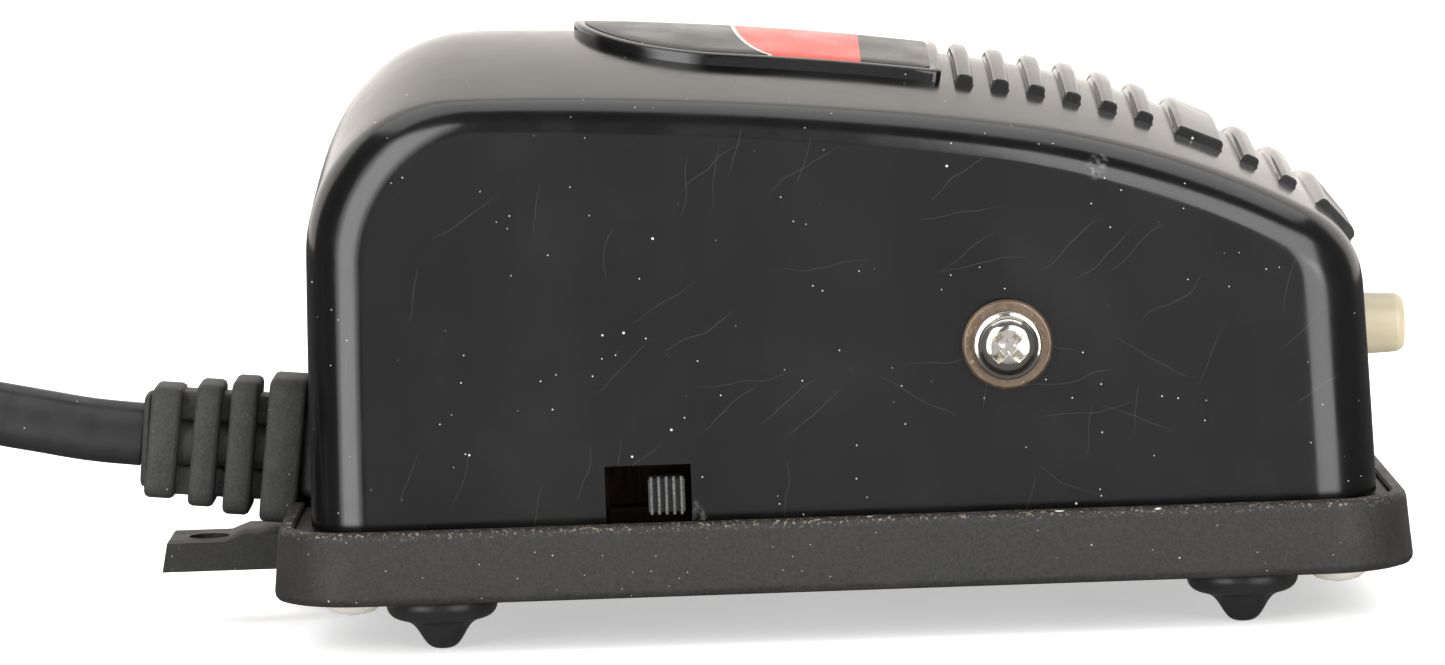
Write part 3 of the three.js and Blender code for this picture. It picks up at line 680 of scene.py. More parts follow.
def make_casing(material):
    casing = new_object("casing_shell", *case_skin(), material)
    shell = casing.modifiers.new("wall", "SOLIDIFY")
    shell.thickness = WALL * MM
    shell.offset = -1
    shell.use_even_offset = True
    bake_modifiers(casing)

    reach = 6  # how far the cutters stick out of the wall
    near, rear, front = -HALF_WIDE, casing_box.low.x, 50
    below = EDGE_Z - 2
    # The switch's window is open below and just wider than the knob's travel.
    window_x0, window_x1 = -15.5, -8.2
    window_top = Box("switch_knob").high.z + 0.65
    carve(casing, block(window_x0, window_x1, near - reach, near + reach, below, window_top))
    slot_half, slot_top = 3.5, EDGE_Z + 9.8
    carve(casing, block(rear - reach, rear + reach, -slot_half, slot_half, below, slot_top))
    nozzle = Box("outlet_nozzle")
    nozzle_hole, screw_hole = 3.1, 1.8
    bore = turned([(nozzle_hole, -reach), (nozzle_hole, reach)], 48)
    carve(casing, moved(bore, shift(front, 0, nozzle.mid.z) @ along("x")))
    screw = Box("side_screw")
    bore = turned([(screw_hole, -reach), (screw_hole, reach)], 40)
    carve(casing, moved(bore, shift(screw.mid.x, near, screw.mid.z) @ along("y")))
    sharpen(casing, 35)
    soften(casing, 0.16, 2)
    return place(casing, "casing", "upper_casing")


# ---- grip ribs
RIB_HALF = 13.5
RIB_HEIGHT = 1.0
RIB_END_RISE = -0.12  # added to the height at the ends
RIB_FIRST, RIB_PITCH, RIB_COUNT, RIB_WIDTH = 16.4, 3.08, 6, 1.5
# The last ribs, down the front slope, as (x, width, half length, height).
LAST_RIBS = [(36.4, 4.3, 14.2, 1), (40.7, 1.5, 14.6, 0.95), (43.9, 1.5, 15.2, 0.9), (47.7, 4.4, 16, 1)]


def rib_part(x, width, half, crest=RIB_HEIGHT):
    """A bar across the top with a round crest, a flared foot and square ends."""
    w = width / 2
    round_edge = 0.5
    section = [(-w - 0.12, -0.5, True), (-w - 0.12, 0.04, True), (-w - 0.03, 0.14, True), (-w, 0.4, True)]
    for k in range(6):
        a = math.pi / 2 * k / 5
        section.append((-w + round_edge * (1 - math.cos(a)), 1 - round_edge * (1 - math.sin(a)), False))
    section += [(-u, v, low) for u, v, low in reversed(section)]
    stations = 24
    rings = []
    slope = top_slope(x)
    for j in range(stations + 1):
        y = half * (2 * j / stations - 1)
        rise = crest + RIB_END_RISE * (y / RIB_HALF) ** 2
        ring = []
        for u, v, low in section:
            foot = on_casing(x + u * math.cos(slope), y, 0)
            height = v * rise if v > 0.2 else v
            out = 0.0
            if low and j in (0, stations):
                out = 0.12 * (1 - max(0.0, v) / 0.4) * (1 if j else -1)
            ring.append(foot + Vector((-math.sin(slope) * height, out, math.cos(slope) * height)))
        rings.append(ring)
    return loft(rings)


def make_ribs(material):
    parts = [rib_part(RIB_FIRST + RIB_PITCH * k, RIB_WIDTH, RIB_HALF) for k in range(RIB_COUNT)]
    parts += [rib_part(*sizes) for sizes in LAST_RIBS]
    ribs = new_object("casing_ribs", *joined(parts), material)
    sharpen(ribs, 40)
    soften(ribs, 0.1, 2, 40)
    return place(ribs, "casing")


# ---- badge
BADGE_REAR, BADGE_FRONT, BADGE_HALF, BADGE_NOSE = -17.3, 14.4, 13.7, 13.0
BADGE_SINK = 0.1  # how much lower the badge's middle stands than its sides


def tongue_outline(inset, steps=40):
    """Points (x, y) round the badge: square in front, a round nose behind."""
    half = BADGE_HALF - inset
    nose = BADGE_NOSE - inset
    corner = 0.8
    front = BADGE_FRONT - inset
    straight_x, straight_y = front - corner, half - corner
    start = BADGE_REAR + inset + nose
    rungs, side_rungs = 12, 10
    sides = [start + (straight_x - start) * k / side_rungs for k in range(1, side_rungs)]
    out = arc(straight_x, -straight_y, corner, corner, -90, 0, 4)
    out += [(front, straight_y * (2 * k / rungs - 1)) for k in range(1, rungs)]
    out += arc(straight_x, straight_y, corner, corner, 0, 90, 4)
    out += [(x, half) for x in reversed(sides)]
    out += arc(start, 0, nose, half, 90, 270, steps)
    out += [(x, -half) for x in sides]
    return out


def on_badge(x, y, above):
    """The badge is a little flatter than the casing's crown: it stands lower along its middle."""
    sunk = BADGE_SINK * (1 - (y / BADGE_HALF) ** 2) if above > 0 else 0.0
    return on_casing(x, y, above - sunk)


def tongue_part(profile):
    """A layer in the badge's outline that follows the casing's top, from (inset, height) pairs."""
    rings = []
    for inset, above in profile:
        rings.append([on_badge(x, y, above) for x, y in tongue_outline(inset)])
    inset, above = profile[-1]
    middle = Vector(((BADGE_REAR + BADGE_FRONT) / 2 - 1, 0))
    for k in range(1, 9):
        shrink = 1 - k / 8.4
        shrunk = [middle + (Vector(p) - middle) * shrink for p in tongue_outline(inset)]
        rings.append([on_badge(p.x, p.y, above) for p in shrunk])
    return loft(rings)


def badge_top_material():
    """The printed film: black, with a plain coral patch that has a round rear end and a pale edge."""
    s = Shader("label_film_print")
    patch_half = 13.2  # half the width at which the round end would close
    across = s.maths("DIVIDE", s.axis("Y"), patch_half)
    round_off = s.maths("SQRT", s.maths("SUBTRACT", 1.0, s.times(across, across), clamp=True))
    patch_rear, patch_nose, patch_front = -3.2, 4.2, 7.55
    rear_line = s.maths("SUBTRACT", patch_rear + patch_nose, s.times(round_off, patch_nose))
    behind = s.maths("SUBTRACT", s.axis("X"), rear_line)
    in_patch = s.step(behind, 0.0, 0.08)
    in_border = s.times(s.step(behind, -0.32, -0.24), s.step(behind, 0.0, 0.08, 1, 0))
    before_end = s.step(s.axis("X"), patch_front, patch_front + 0.08, 1, 0)
    black = s.mix(s.noise(3.0), (0.014, 0.014, 0.014), (0.024, 0.023, 0.023))
    coral = s.mix(s.noise(2.2, 4), (0.62, 0.060, 0.045), (0.70, 0.085, 0.062))
    colour = s.mix(s.times(in_patch, before_end), black, coral)
    colour = s.mix(in_border, colour, (0.62, 0.60, 0.55))
    dust = s.specks(0.08, 1.4, 0.5)
    s.colour(s.over(colour, dust, 0.6, (0.6, 0.58, 0.54)))
    s.set(Roughness=s.step(s.noise(5.0), 0.3, 0.7, 0.24, 0.36), Specular_IOR_Level=0.3)
    s.bump((s.noise(2.5, 2), 0.008))
    return s.material


def make_badge(material):
    wall = [(0, -0.6), (0, 0.2), (0, 0.55), (0, 0.84), (0.05, 0.92), (0.14, 0.97)]
    rim = [(0.3, 0.99), (0.55, 0.99), (0.68, 0.96), (0.74, 0.88), (0.9, 0.86)]
    badge = new_object("badge_tongue", *tongue_part(wall + rim), material)
    sharpen(badge, 60)
    normals = badge.modifiers.new("normals", "WEIGHTED_NORMAL")
    normals.keep_sharp = True
    place(badge, "casing", "badge_plate")
    film_edge = [(0.95, 0.82), (0.95, 0.94), (1.02, 0.98)]
    film = new_object("badge_film", *tongue_part(film_edge), badge_top_material())
    place(film, "label", "label_film")


# ---- base tray
base_box = Box("base_tray")
BASE_X0, BASE_X1 = base_box.low.x + 11.0, base_box.high.x  # without the hanging lug
BASE_HALF = base_box.high.y
BASE_LOW = base_box.low.z
RIM_Z = EDGE_Z - 1.0
LIP_WIDE, LIP_DEPTH = 1.8, 0.5  # the raised edge round the seat that the casing stands in
BASE_CORNER = 8
BASE_FLARE = 0.45
FLOOR_Z = RIM_Z - 3.4
LUG_HALF, LUG_HOLE_X, LUG_HOLE_R = 4.8, -51.2, 1.8
LUG_TIP, LUG_TOP, RAMP_X, RAMP_TOP = base_box.low.x, RIM_Z - 3.3, -49.5, RIM_Z - 1.6
LUG_LOW = BASE_LOW + 0.4


def base_ring(inset, z):
    middle = (BASE_X0 + BASE_X1) / 2
    half_x = (BASE_X1 - BASE_X0) / 2 - inset
    ring = rounded_rectangle(half_x, BASE_HALF - inset, max(1.5, BASE_CORNER - inset), 12)
    return [(middle + x, y, z) for x, y in ring]


def lug_part():
    """The hanging lug: a flat tongue with a ramp up to the tray, round corners at its tip."""
    side = [
        (LUG_TIP, LUG_LOW),
        (BASE_X0 + 3, LUG_LOW),
        (BASE_X0 + 3, RAMP_TOP),
        (BASE_X0 - 0.9, RAMP_TOP),
        (RAMP_X, LUG_TOP),
        (LUG_TIP + 0.5, LUG_TOP),
    ]
    rings = [[(x, y, z) for x, z in side] for y in (-LUG_HALF, LUG_HALF)]
    return loft(rings)


def base_material():
    s = Shader("base_matt_black")
    grain = s.noise(0.28, 3, 0.7)
    broad = s.noise(5.0, 4, 0.6)
    colour = s.mix(s.step(grain, 0.3, 0.7), (0.0100, 0.0096, 0.0091), (0.0205, 0.0197, 0.0185))
    colour = s.mix(s.step(broad, 0.45, 0.8, 0, 0.5), colour, (0.026, 0.0245, 0.022))
    # Brown crumbs and pale lint collect along the upper edge.
    near_edge = s.step(s.axis("Z"), RIM_Z - 0.9, RIM_Z - 0.1)
    crumbs = s.times(near_edge, s.step(s.noise(0.32, 3, 0.7), 0.56, 0.64))
    colour = s.over(colour, crumbs, 0.75, (0.26, 0.20, 0.14))
    lint = s.times(near_edge, s.specks(0.16, 0.9, 0.25, (0.35, 1, 1), (0, 10, 0), 3))
    dust = s.maths("ADD", s.specks(0.10, 1.9, 0.5), s.specks(0.06, 0.8, 0.3), clamp=True)
    marks = s.maths("ADD", lint, s.times(dust, 0.7), clamp=True)
    s.colour(s.over(colour, marks, 0.8, (0.58, 0.55, 0.49)))
    s.set(Roughness=s.step(broad, 0.3, 0.7, 0.52, 0.68), Specular_IOR_Level=0.3)
    s.bump((s.noise(0.35, 3, 0.65), 0.05), (s.noise(6.0), 0.05))
    return s.material


def make_base(material):
    seat_z = RIM_Z - LIP_DEPTH
    middle_z = (BASE_LOW + RIM_Z) / 2
    # (inset, height) from the lower edge up the outside, over the lip and down to the tray's floor.
    outside = [(0.7, BASE_LOW), (0.28, BASE_LOW + 0.12), (0.06, BASE_LOW + 0.4), (0, BASE_LOW + 0.8)]
    outside += [(BASE_FLARE / 2, middle_z), (BASE_FLARE, RIM_Z - 0.55), (BASE_FLARE + 0.08, RIM_Z - 0.25)]
    lip = [(BASE_FLARE + 0.3, RIM_Z - 0.06), (BASE_FLARE + 0.6, RIM_Z)]
    lip += [(LIP_WIDE - 0.2, RIM_Z), (LIP_WIDE, RIM_Z - 0.2), (LIP_WIDE, seat_z)]
    inside = [(5.4, seat_z), (5.6, seat_z - 0.2), (5.6, FLOOR_Z)]
    rings = [base_ring(inset, z) for inset, z in outside + lip + inside]
    tray = new_object("base_tray_shell", *loft(rings), material)
    carve(tray, lug_part(), "UNION")
    core, pin = Box("magnet_core"), Box("pivot_pin")
    # Posts for the corner screws, the core's screws and the pivot pin, as (x, y, radius, top).
    posts = [(x, y, 3.4, RIM_Z - 1.5) for x in (-37.5, 46.9) for y in (-20.9, 20.9)]
    posts += [(core.low.x + 2.5, core.mid.y + y, 1.9, core.low.z - 0.3) for y in (-4, 4)]
    posts.append((pin.mid.x, pin.mid.y, 3.2, 17.4))
    for x, y, radius, top in posts:
        carve(tray, moved(turned([(radius, FLOOR_Z - 1), (radius, top)], 32), shift(x, y)), "UNION")
    # The lug's hole, the air inlet and the pin's socket, as (x, y, radius, bottom).
    holes = [(LUG_HOLE_X, 0, LUG_HOLE_R, -5), (2, -6, 3.2, -5), (pin.mid.x, pin.mid.y, 1.8, RIM_Z - 1)]
    for x, y, radius, bottom in holes:
        carve(tray, moved(turned([(radius, bottom), (radius, 30)], 32), shift(x, y)))
    notch = block(-60, BASE_X0 + 6.6, -4.9, 4.9, FLOOR_Z + 0.7, RIM_Z + 1)
    carve(tray, notch)
    sharpen(tray, 35)
    soften(tray, 0.22, 3)
    return place(tray, "base", "base_tray")


# ---- feet and base screws
def foot_profile(z_top):
    """(radius, height) of a push-in rubber foot, from its tip to the knob inside the tray."""
    tip = [(0, 0), (0.6, 0.02), (1.2, 0.22), (1.65, 0.8), (2.1, 1.6), (2.5, 2.15)]
    flange = [(3.1, 2.5), (3.7, 2.62), (4.3, 2.85), (4.7, 3.35), (4.8, 3.9), (4.72, 4.5), (4.4, 4.85)]
    neck = [(1.55, 4.85), (1.55, z_top - 1.6)]
    knob = [(2.3, z_top - 1.5), (1.2, z_top - 0.1), (0, z_top)]
    return tip + flange + neck + knob


def make_feet(material):
    for k in range(1, 5):
        node = f"rubber_foot_{k}"
        box = Box(node)
        part = turned(foot_profile(box.high.z), 72)
        foot = new_object(f"foot_{k}", *moved(part, shift(box.mid.x, box.mid.y)), material)
        sharpen(foot, 70)
        subdivide(foot)
        place(foot, "rubber", node)


def cross_cutter(half_long, half_wide, depth):
    """A Phillips recess: two crossed wedges that narrow towards the bottom."""
    parts = []
    for angle in (45, 135):
        turn = Matrix.Rotation(math.radians(angle), 4, "Z")
        rings = []
        for z, shrink in ((-depth, 0.45), (0, 1.0), (1, 1.3)):
            a, b = half_long * shrink, half_wide * (0.6 + 0.4 * shrink)
            rings.append([(-a, -b, z), (a, -b, z), (a, b, z), (-a, b, z)])
        parts.append(moved(loft(rings), turn))
    return parts


def make_base_screws(material):
    for k in range(1, 5):
        node = f"base_screw_{k}"
        box = Box(node)
        low = box.low.z
        head = [(0, 0), (1, 0.03), (1.8, 0.25), (2.4, 0.7), (2.72, 1.2), (2.75, 1.6), (1.25, 1.65)]
        profile = [(radius, low + z) for radius, z in head]
        profile += [(1.2, box.high.z - 1.5), (0, box.high.z)]
        part = moved(turned(profile, 48), shift(box.mid.x, box.mid.y))
        screw = new_object(f"tray_screw_{k}", *part, material)
        flip = shift(box.mid.x, box.mid.y, low) @ Matrix.Rotation(math.pi, 4, "X")
        for wedge in cross_cutter(1.5, 0.36, 1.1):
            carve(screw, moved(wedge, flip))
        sharpen(screw, 40)
        place(soften(screw, 0.06, 2), "nickel", node)


# ---- side screw and washer
def nickel_material():
    s = Shader("nickel_plate")
    s.colour(s.mix(s.noise(0.8, 4), (0.70, 0.66, 0.60), (0.86, 0.83, 0.77)))
    s.set(Metallic=1.0, Roughness=s.step(s.noise(0.5, 3), 0.3, 0.7, 0.10, 0.20))
    s.bump((s.noise(0.35, 3), 0.002))
    return s.material


def washer_material():
    """Plating that has gone brown and pink on its flat face."""
    s = Shader("washer_tarnished")
    tarnish = s.mix(s.noise(0.7, 4, 0.65), (0.115, 0.078, 0.052), (0.215, 0.163, 0.120))
    s.colour(s.mix(s.step(s.noise(0.35, 3), 0.62, 0.72), tarnish, (0.36, 0.30, 0.24)))
    s.set(Metallic=0.85, Roughness=s.step(s.noise(0.5, 3), 0.3, 0.7, 0.32, 0.5))
    s.bump((s.noise(0.3, 3), 0.012))
    return s.material


def make_side_screw(material):
    screw_box = Box("side_screw")
    washer_box = Box("side_washer")
    front = screw_box.low.y
    axis = shift(screw_box.mid.x, 0, screw_box.mid.z) @ along("y")
    # Heights along the screw run outwards, so the washer's back is at -washer_box.high.y.
    back = -washer_box.high.y
    corners = [(1.9, 0), (3.72, 0), (3.85, 0.12), (3.85, 0.38), (3.62, 0.6), (1.9, 0.6)]
    section = [(radius, back + z) for radius, z in corners + corners[:1]]
    ring = turned(section, 96, caps=False)
    washer = new_object("screw_washer", *moved(ring, axis), washer_material())
    sharpen(washer, 30)
    place(soften(washer, 0.05, 2, 25), "nickel", "side_washer")

    head = back + 0.9
    crown = -front
    shank = [(0, head - 11), (1.2, head - 10), (1.2, head)]
    collar = [(2.92, head), (2.92, head + 0.42), (2.44, head + 0.62)]
    dome = [(2.36, head + 1.05), (1.75, crown - 0.2), (0, crown)]
    profile = rounded_profile(shank + collar + dome, 0.35)
    screw = new_object("screw_side", *moved(turned(profile, 96), axis), material)
    top = axis @ shift(z=crown)
    for wedge in cross_cutter(1.72, 0.4, 1.3):
        carve(screw, moved(wedge, top))
    sharpen(screw, 38)
    place(soften(screw, 0.04, 2, 50), "nickel", "side_screw")


# ---- switch knob
def knob_material(front):
    """Black plastic, worn pale along the crests of its ridges."""
    s = plastic_shader("knob_black", (0.022, 0.022, 0.022), 0.42)
    worn = s.step(s.noise(0.25, 3), 0.45, 0.6, 0.35, 1.0)
    crest = s.step(s.axis("Y"), front + 0.22, front + 0.05)
    s.colour(s.over((0.012, 0.012, 0.012), s.times(worn, crest), 0.16, (0.5, 0.5, 0.48)))
    return s.material


def make_knob():
    box = Box("switch_knob")
    front = box.low.y
    x0, x1 = box.low.x + 0.05, box.high.x - 0.05
    body = block(x0, x1, front + 0.55, front + 5.2, box.low.z + 0.2, box.high.z - 0.45)
    stem = block(box.mid.x - 0.8, box.mid.x + 0.8, front + 5, box.high.y, box.mid.z - 0.9, box.mid.z + 1)
    parts = [body, stem]
    ridges = 5
    pitch = box.size.x / ridges
    half = pitch * 0.24
    # One ridge's section, as (across, depth) from its middle and from the knob's front.
    section = [(-half, 0.8), (-half, 0.15), (-half / 2, 0), (half / 2, 0), (half, 0.15), (half, 0.8)]
    for k in range(ridges):
        x = box.low.x + pitch * (k + 0.5)
        heights = (box.low.z + 0.05, box.high.z - 0.2)
        parts.append(loft([[(x + across, front + depth, z) for across, depth in section] for z in heights]))
    knob = new_object("knob_slider", *joined(parts), knob_material(front), smooth=False)
    place(soften(knob, 0.08, 2), "rubber_plastic", "switch_knob", body="knob")


# ---- outlet nozzle
def nozzle_material():
    s = Shader("nozzle_cream")
    s.colour(s.mix(s.noise(3.0, 4), (0.42, 0.365, 0.245), (0.49, 0.435, 0.31)))
    s.set(Roughness=s.step(s.noise(1.0), 0.3, 0.7, 0.32, 0.45), Subsurface_Weight=0.35)
    s.set(Subsurface_Radius=(1.0, 0.8, 0.5), Subsurface_Scale=1.2 * MM)
    s.bump((s.noise(0.8, 2), 0.01))
    return s.material


def make_nozzle():
    cream = nozzle_material()
    box, head = Box("outlet_nozzle"), Box("pump_head")
    tip, base = box.high.x, head.high.x + 2
    bore, wide = 1.25, 2.75
    outside = [(bore, base), (wide, base), (wide, tip - 4.6), (2.6, tip - 0.6), (2.2, tip)]
    inside = [(1.35, tip), (bore, tip - 0.15), (bore, base)]
    tube = turned(rounded_profile(outside + inside, 0.3, 4), 72, caps=False)
    nozzle = new_object("nozzle_tube", *moved(tube, shift(z=EDGE_Z + 11.1) @ along("x")), cream)
    sharpen(nozzle, 45)
    place(nozzle, "nozzle", "outlet_nozzle")
    plate = block(head.high.x + 0.3, head.high.x + 2.5, -9.5, 4.5, box.low.z, box.high.z)
    flange = new_object("nozzle_flange", *plate, cream, smooth=False)
    place(soften(flange, 0.3), "nozzle")


# ---- strain relief boot
# The ribs as (rear x, front x, width, height), from the boot's own front.
BOOT_RIBS = [(-13.9, -11.2, 7.4, 9.9), (-10, -7.7, 7.8, 10.9)]
BOOT_RIBS += [(-6.9, -4.5, 8.2, 11.9), (-3.6, -0.3, 8.6, 12.8)]
BOOT_TILT = 5.5  # degrees, nose down


def boot_block(x0, x1, wide, high, corner, lean=0.0):
    """A rounded block along X; lean tilts its faces by that many millimetres over its height."""
    rings = []
    edge = [(0, 0.45), (0.12, 0.16), (0.45, 0)]  # (distance from the end, shrink) of a round edge
    shape = [(x0 + d, shrink) for d, shrink in edge] + [(x1 - d, shrink) for d, shrink in reversed(edge)]
    for x, shrink in shape:
        ring = rounded_rectangle(wide / 2 - shrink, high / 2 - shrink, max(0.3, corner - shrink), 6)
        rings.append([(x + lean * z / high, y, z) for y, z in ring])
    return loft(rings)


def boot_material():
    s = Shader("boot_pvc")
    grain = s.noise(0.2, 2, 0.6)
    colour = s.mix(s.step(grain, 0.3, 0.7), (0.018, 0.018, 0.0174), (0.034, 0.034, 0.0325))
    colour = s.mix(s.step(s.noise(3.0, 4), 0.45, 0.75, 0, 0.5), colour, (0.040, 0.039, 0.037))
    dust = s.specks(0.08, 1.3, 0.5)
    s.colour(s.over(colour, dust, 0.6, (0.5, 0.48, 0.44)))
    s.set(Roughness=0.62, Specular_IOR_Level=0.32)
    s.bump((s.noise(0.28, 3, 0.65), 0.045))
    return s.material


def make_boot(material):
    parts = [boot_block(*rib, 1.5, 0.35) for rib in BOOT_RIBS]
    # A round core with webs above and below it fills the grooves between the ribs.
    parts.append(boot_block(-14.0, 0.6, 5.2, 4.6, 2.1))
    for middle in (3.3, -3.3):
        web = boot_block(-13.5, -0.6, 4.2, 2.6, 0.5)
        parts.append(moved(web, shift(z=middle)))
    parts.append(boot_block(-0.6, 4.2, 6.2, 8.2, 1.0))
    parts.append(boot_block(4.2, 6.4, 9.0, 10.6, 1.4))
    # The lip of flash where the cord goes in.
    parts.append(boot_block(-14.5, -13.6, 5.0, 8.4, 1.2))
    stand = shift(-42.2, 0, EDGE_Z + 3.2) @ Matrix.Rotation(math.radians(BOOT_TILT), 4, "Y")
    boot = new_object("boot_ribbed", *moved(joined(parts), stand), material)
    sharpen(boot, 50)
    place(boot, "boot", "strain_relief_boot")
    return boot


# ---- plug and tie
def make_plug(black, steel):
    box = Box("plug_body")
    middle_y, middle_z = box.mid.y, box.mid.z
    wide, half = box.size.y / 2, box.size.z / 2
    length = box.size.x
    # (share of the length, share of the half width) from the cord end to the pin face.
    waist = [(0, 0.24), (0.10, 0.26), (0.2, 0.36), (0.3, 0.62), (0.4, 0.84)]
    waist += [(0.55, 0.97), (0.8, 1), (0.97, 1), (1, 0.94)]
    rings = []
    for far, share in waist:
        thick = half * (0.62 + 0.38 * smooth(far / 0.45)) - (0.8 if far in (0, 1) else 0)
        ring = rounded_rectangle(wide * share, thick, min(wide * share, thick) * 0.55, 6)
        rings.append([(box.high.x - length * far, middle_y + y, middle_z + z) for y, z in ring])
    body = new_object("plug_moulding", *loft(rings), black)
    sharpen(body, 60)
    subdivide(body)
    place(body, "plug", "plug_body")
    grips = []
    for side in (-1, 1):
        for k in range(5):
            x = box.high.x - length * (0.5 + 0.08 * k)
            y = middle_y + side * (wide - 0.25)
            low, high = middle_z - half * 0.6, middle_z + half * 0.6
            grips.append(block(x - 0.5, x + 0.5, y - 0.55, y + 0.55, low, high))
    ribs = new_object("plug_grips", *joined(grips), black, smooth=False)
    place(soften(ribs, 0.3), "plug")
    pins = []
    for k in (1, 2):
        box = Box(f"plug_pin_{k}")
        profile = [(0, 0), (1.2, 0.05), (1.8, 0.5), (2, 1.1), (2, 8.6), (1.9, 8.8), (1.9, box.size.x)]
        turn = shift(box.low.x, box.mid.y, box.mid.z) @ along("x")
        pin = new_object(f"plug_prong_{k}", *moved(turned(profile, 40), turn), steel)
        sharpen(pin, 40)
        pins.append(place(pin, "steel", f"plug_pin_{k}"))
    return [body, ribs, *pins]


def make_tie(material):
    box = Box("cord_tie")
    half_y, half_z = box.size.y / 2, box.size.z / 2
    thick = 0.45
    outer = rounded_rectangle(half_y, half_z, 2.0, 8)
    inner = rounded_rectangle(half_y - thick, half_z - thick, 1.6, 8)
    x0, x1 = box.low.x, box.high.x
    rings = []
    for ring, x in ((outer, x0), (outer, x1), (inner, x1), (inner, x0), (outer, x0)):
        rings.append([(x, box.mid.y + y, box.mid.z + z) for y, z in ring])
    tie = new_object("tie_strap", *loft(rings, False, False), material)
    place(soften(tie, 0.12, 2), "tie", "cord_tie")
    return tie


# ---- pieces inside the casing
def paint_nodes(material, *names):
    """Gives CAD nodes that keep their shape a finished material."""
    for name in names:
        for slot in nodes[name].material_slots:
            slot.material = material


def banded(name, direction, scale, distortion=0.0):
    """A shader with bands across one direction: the shader, and the bands as a value."""
    s = Shader(name)
    wave = s.node("ShaderNodeTexWave")
    wave.bands_direction = direction
    wave.inputs["Scale"].default_value = scale
    wave.inputs["Distortion"].default_value = distortion
    s.join(s.place, wave.inputs["Vector"])
    return s, wave.outputs["Fac"]


def winding_material():
    """Enamelled copper wire, wound in even turns."""
    s, turns = banded("coil_copper", "X", 1.2, 0.4)
    s.colour(s.mix(turns, (0.20, 0.055, 0.018), (0.62, 0.22, 0.08)))
    s.set(Metallic=0.8, Roughness=0.3)
    s.bump((turns, 0.12))
    return s.material


def lamination_material():
    """Stacked iron sheets, so fine lines run level round the core."""
    s, sheets = banded("core_laminations", "Z", 0.6)
    rust = s.step(s.noise(2.0, 4), 0.55, 0.75, 0, 0.6)
    grey = s.mix(sheets, (0.10, 0.098, 0.095), (0.34, 0.33, 0.32))
    s.colour(s.mix(rust, grey, (0.20, 0.10, 0.055)))
    s.set(Metallic=0.8, Roughness=0.45)
    s.bump((sheets, 0.05))
    return s.material


def felt_material():
    s = Shader("filter_felt")
    fibres = s.noise(0.3, 4, 0.75)
    s.colour(s.mix(fibres, (0.62, 0.60, 0.54), (0.86, 0.84, 0.78)))
    s.set(Roughness=0.95, Sheen_Weight=0.3)
    s.bump((fibres, 0.15))
    return s.material


def board_material():
    s = Shader("switch_board_laminate")
    fibres = s.noise(0.5, 4, 0.7, (1, 1, 0.3))
    s.colour(s.mix(fibres, (0.10, 0.038, 0.014), (0.22, 0.095, 0.036)))
    s.set(Roughness=0.5)
    s.bump((fibres, 0.02))
    return s.material


def finish_inner_pieces(rubber, black):
    steel = plain_metal("zinc_steel", (0.62, 0.61, 0.59), 0.32)
    natural = plain_plastic("natural_moulding", (0.62, 0.60, 0.52), 0.45)
    paint_nodes(winding_material(), "coil_winding")
    paint_nodes(lamination_material(), "magnet_core")
    paint_nodes(felt_material(), "filter_felt")
    paint_nodes(board_material(), "switch_board")
    paint_nodes(natural, "swing_arm", "coil_bobbin")
    paint_nodes(plain_metal("ferrite", (0.10, 0.10, 0.105), 0.5), "arm_magnet")
    paint_nodes(plain_plastic("head_grey", (0.07, 0.07, 0.07), 0.5), "pump_head")
    # The switch can's colour is darkened to near black all over: painted shade for the dim inside of the
    # switch window.
    paint_nodes(plain_metal("switch_can_painted_shade", (0.014, 0.009, 0.006), 0.42, (1, 1, 0.1)), "switch_body")
    paint_nodes(plain_plastic("wire_brown", (0.20, 0.075, 0.03), 0.4), "wire_to_switch")
    paint_nodes(plain_plastic("wire_blue", (0.03, 0.12, 0.40), 0.4), "wire_to_coil")
    paint_nodes(rubber, "diaphragm", "inlet_valve_flap", "outlet_valve_flap")
    paint_nodes(black, "filter_cover")
    paint_nodes(steel, "pivot_pin", "diaphragm_screw", "diaphragm_nut", "core_screw_1", "core_screw_2")
    return steel


# ---- make the pump
casing_black = casing_material()
base_black = base_material()
foot_shader = plastic_shader("foot_rubber", (0.017, 0.017, 0.0165), 0.33, 0.4)
foot_shader.set(Specular_IOR_Level=0.3)
foot_rubber = foot_shader.material

zinc_steel = finish_inner_pieces(foot_rubber, base_black)
make_casing(casing_black)
make_ribs(casing_black)
make_badge(casing_black)
make_base(base_black)
make_feet(foot_rubber)
# The corner screws get a pale matt colour, not plating: a painted reflection of the pale floor, which is left
# out of the pump's reflections.
make_base_screws(plain_plastic("dull_zinc", (0.50, 0.47, 0.41), 0.4))
make_side_screw(nickel_material())
make_knob()
make_nozzle()
boot = make_boot(boot_material())
plug_pieces = make_plug(plain_plastic("plug_pvc", (0.022, 0.022, 0.022), 0.42, 0.4, 0.02), zinc_steel)
tie = make_tie(plain_plastic("tie_white", (0.66, 0.65, 0.60), 0.45))


# ---- stage and light
def stage_material(name, colour, glow):
    s = Shader(name)
    s.colour(s.mix(s.noise(60.0), [c * 0.985 for c in colour], colour))
    s.set(Roughness=0.9, Emission_Color=(*colour, 1), Emission_Strength=glow)
    return s.material


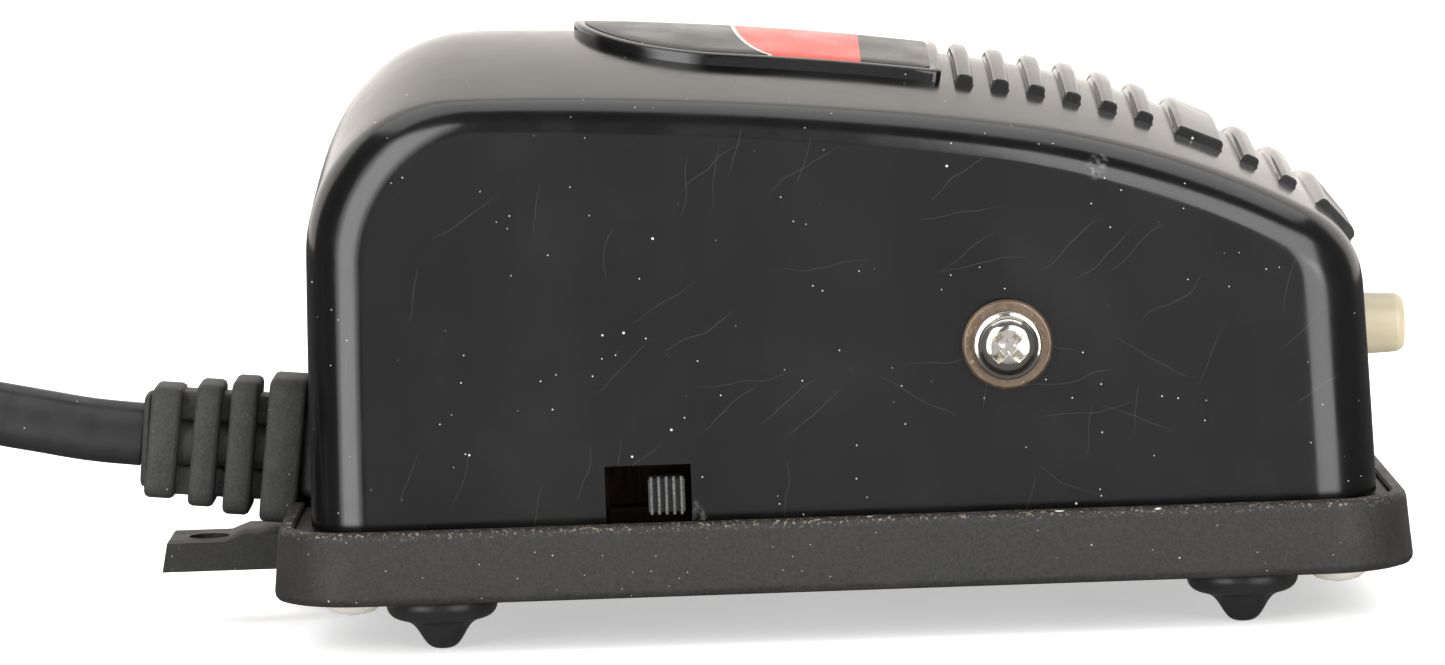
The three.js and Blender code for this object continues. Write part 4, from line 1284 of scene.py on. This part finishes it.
def add_stage():
    """A pale floor, and a pale wall far behind that rises out of the camera's view."""
    wide, front, seam, back = 9000, -4500, -60, 4500
    wall_high = 5700
    pale = stage_material("floor_pale", (0.95, 0.95, 0.95), 0.5)

    def sheet(name, near, far, high, material):
        corners = [(-wide, near, 0), (wide, near, 0), (wide, far, high), (-wide, far, high)]
        return new_object(name, corners, [(0, 1, 2, 3)], material, smooth=False)

    floor = sheet("floor", seam, back, 0, pale)
    near_floor = sheet("floor_near", front, seam, 0, pale)
    # The floor is left out of the pump's reflections, as if the pump stood on a narrow shelf.
    floor.visible_glossy = False
    near_floor.visible_glossy = False
    near_floor.visible_shadow = False
    wall = sheet("backdrop", back, back, wall_high, stage_material("backdrop_pale", (0.55, 0.52, 0.49), 2.15))


def add_light(name, azimuth, elevation, distance, wide, high, glow, roll=0.0):
    """A softbox that faces the pump, with sizes in metres and angles in degrees.

    Azimuth 0 is the camera's side and 90 is +X; glow is its radiance.
    """
    data = bpy.data.lights.new(name, "AREA")
    data.shape = "RECTANGLE"
    data.size = wide
    data.size_y = high
    data.energy = glow * math.pi * wide * high
    light = bpy.data.objects.new(name, data)
    scene.collection.objects.link(light)
    a, e = math.radians(azimuth), math.radians(elevation)
    direction = Vector((math.sin(a) * math.cos(e), -math.cos(a) * math.cos(e), math.sin(e)))
    aim = Vector((0, 0, 0.03))  # metres: the middle of the pump
    turn = (-direction).to_track_quat("-Z", "Y").to_matrix().to_4x4()
    spin = Matrix.Rotation(math.radians(roll), 4, "Z")
    light.matrix_world = Matrix.Translation(aim + direction * distance) @ turn @ spin


def add_world():
    world = bpy.data.worlds.new("room")
    world.use_nodes = True
    back = world.node_tree.nodes["Background"]
    back.inputs["Color"].default_value = (1, 1, 1, 1)
    back.inputs["Strength"].default_value = 0.12
    scene.world = world


add_stage()
add_world()
add_light("softbox_left", -41, 18, 1.2, 1.0, 1.56, 2.3)
add_light("softbox_left_core", -41, 18, 1.21, 0.66, 1.56, 3.4)
add_light("softbox_right_low", 35, -5, 1.2, 0.76, 0.62, 4.6)
add_light("softbox_right_high", 34, 28, 1.2, 0.95, 0.9, 4.6, -22)
add_light("fill_front", 0, -5, 1.2, 0.6, 0.7, 0.5)
add_light("top_rear", 180, 75, 1.25, 2.0, 0.95, 2.0)
scene.view_settings.view_transform = "Standard"
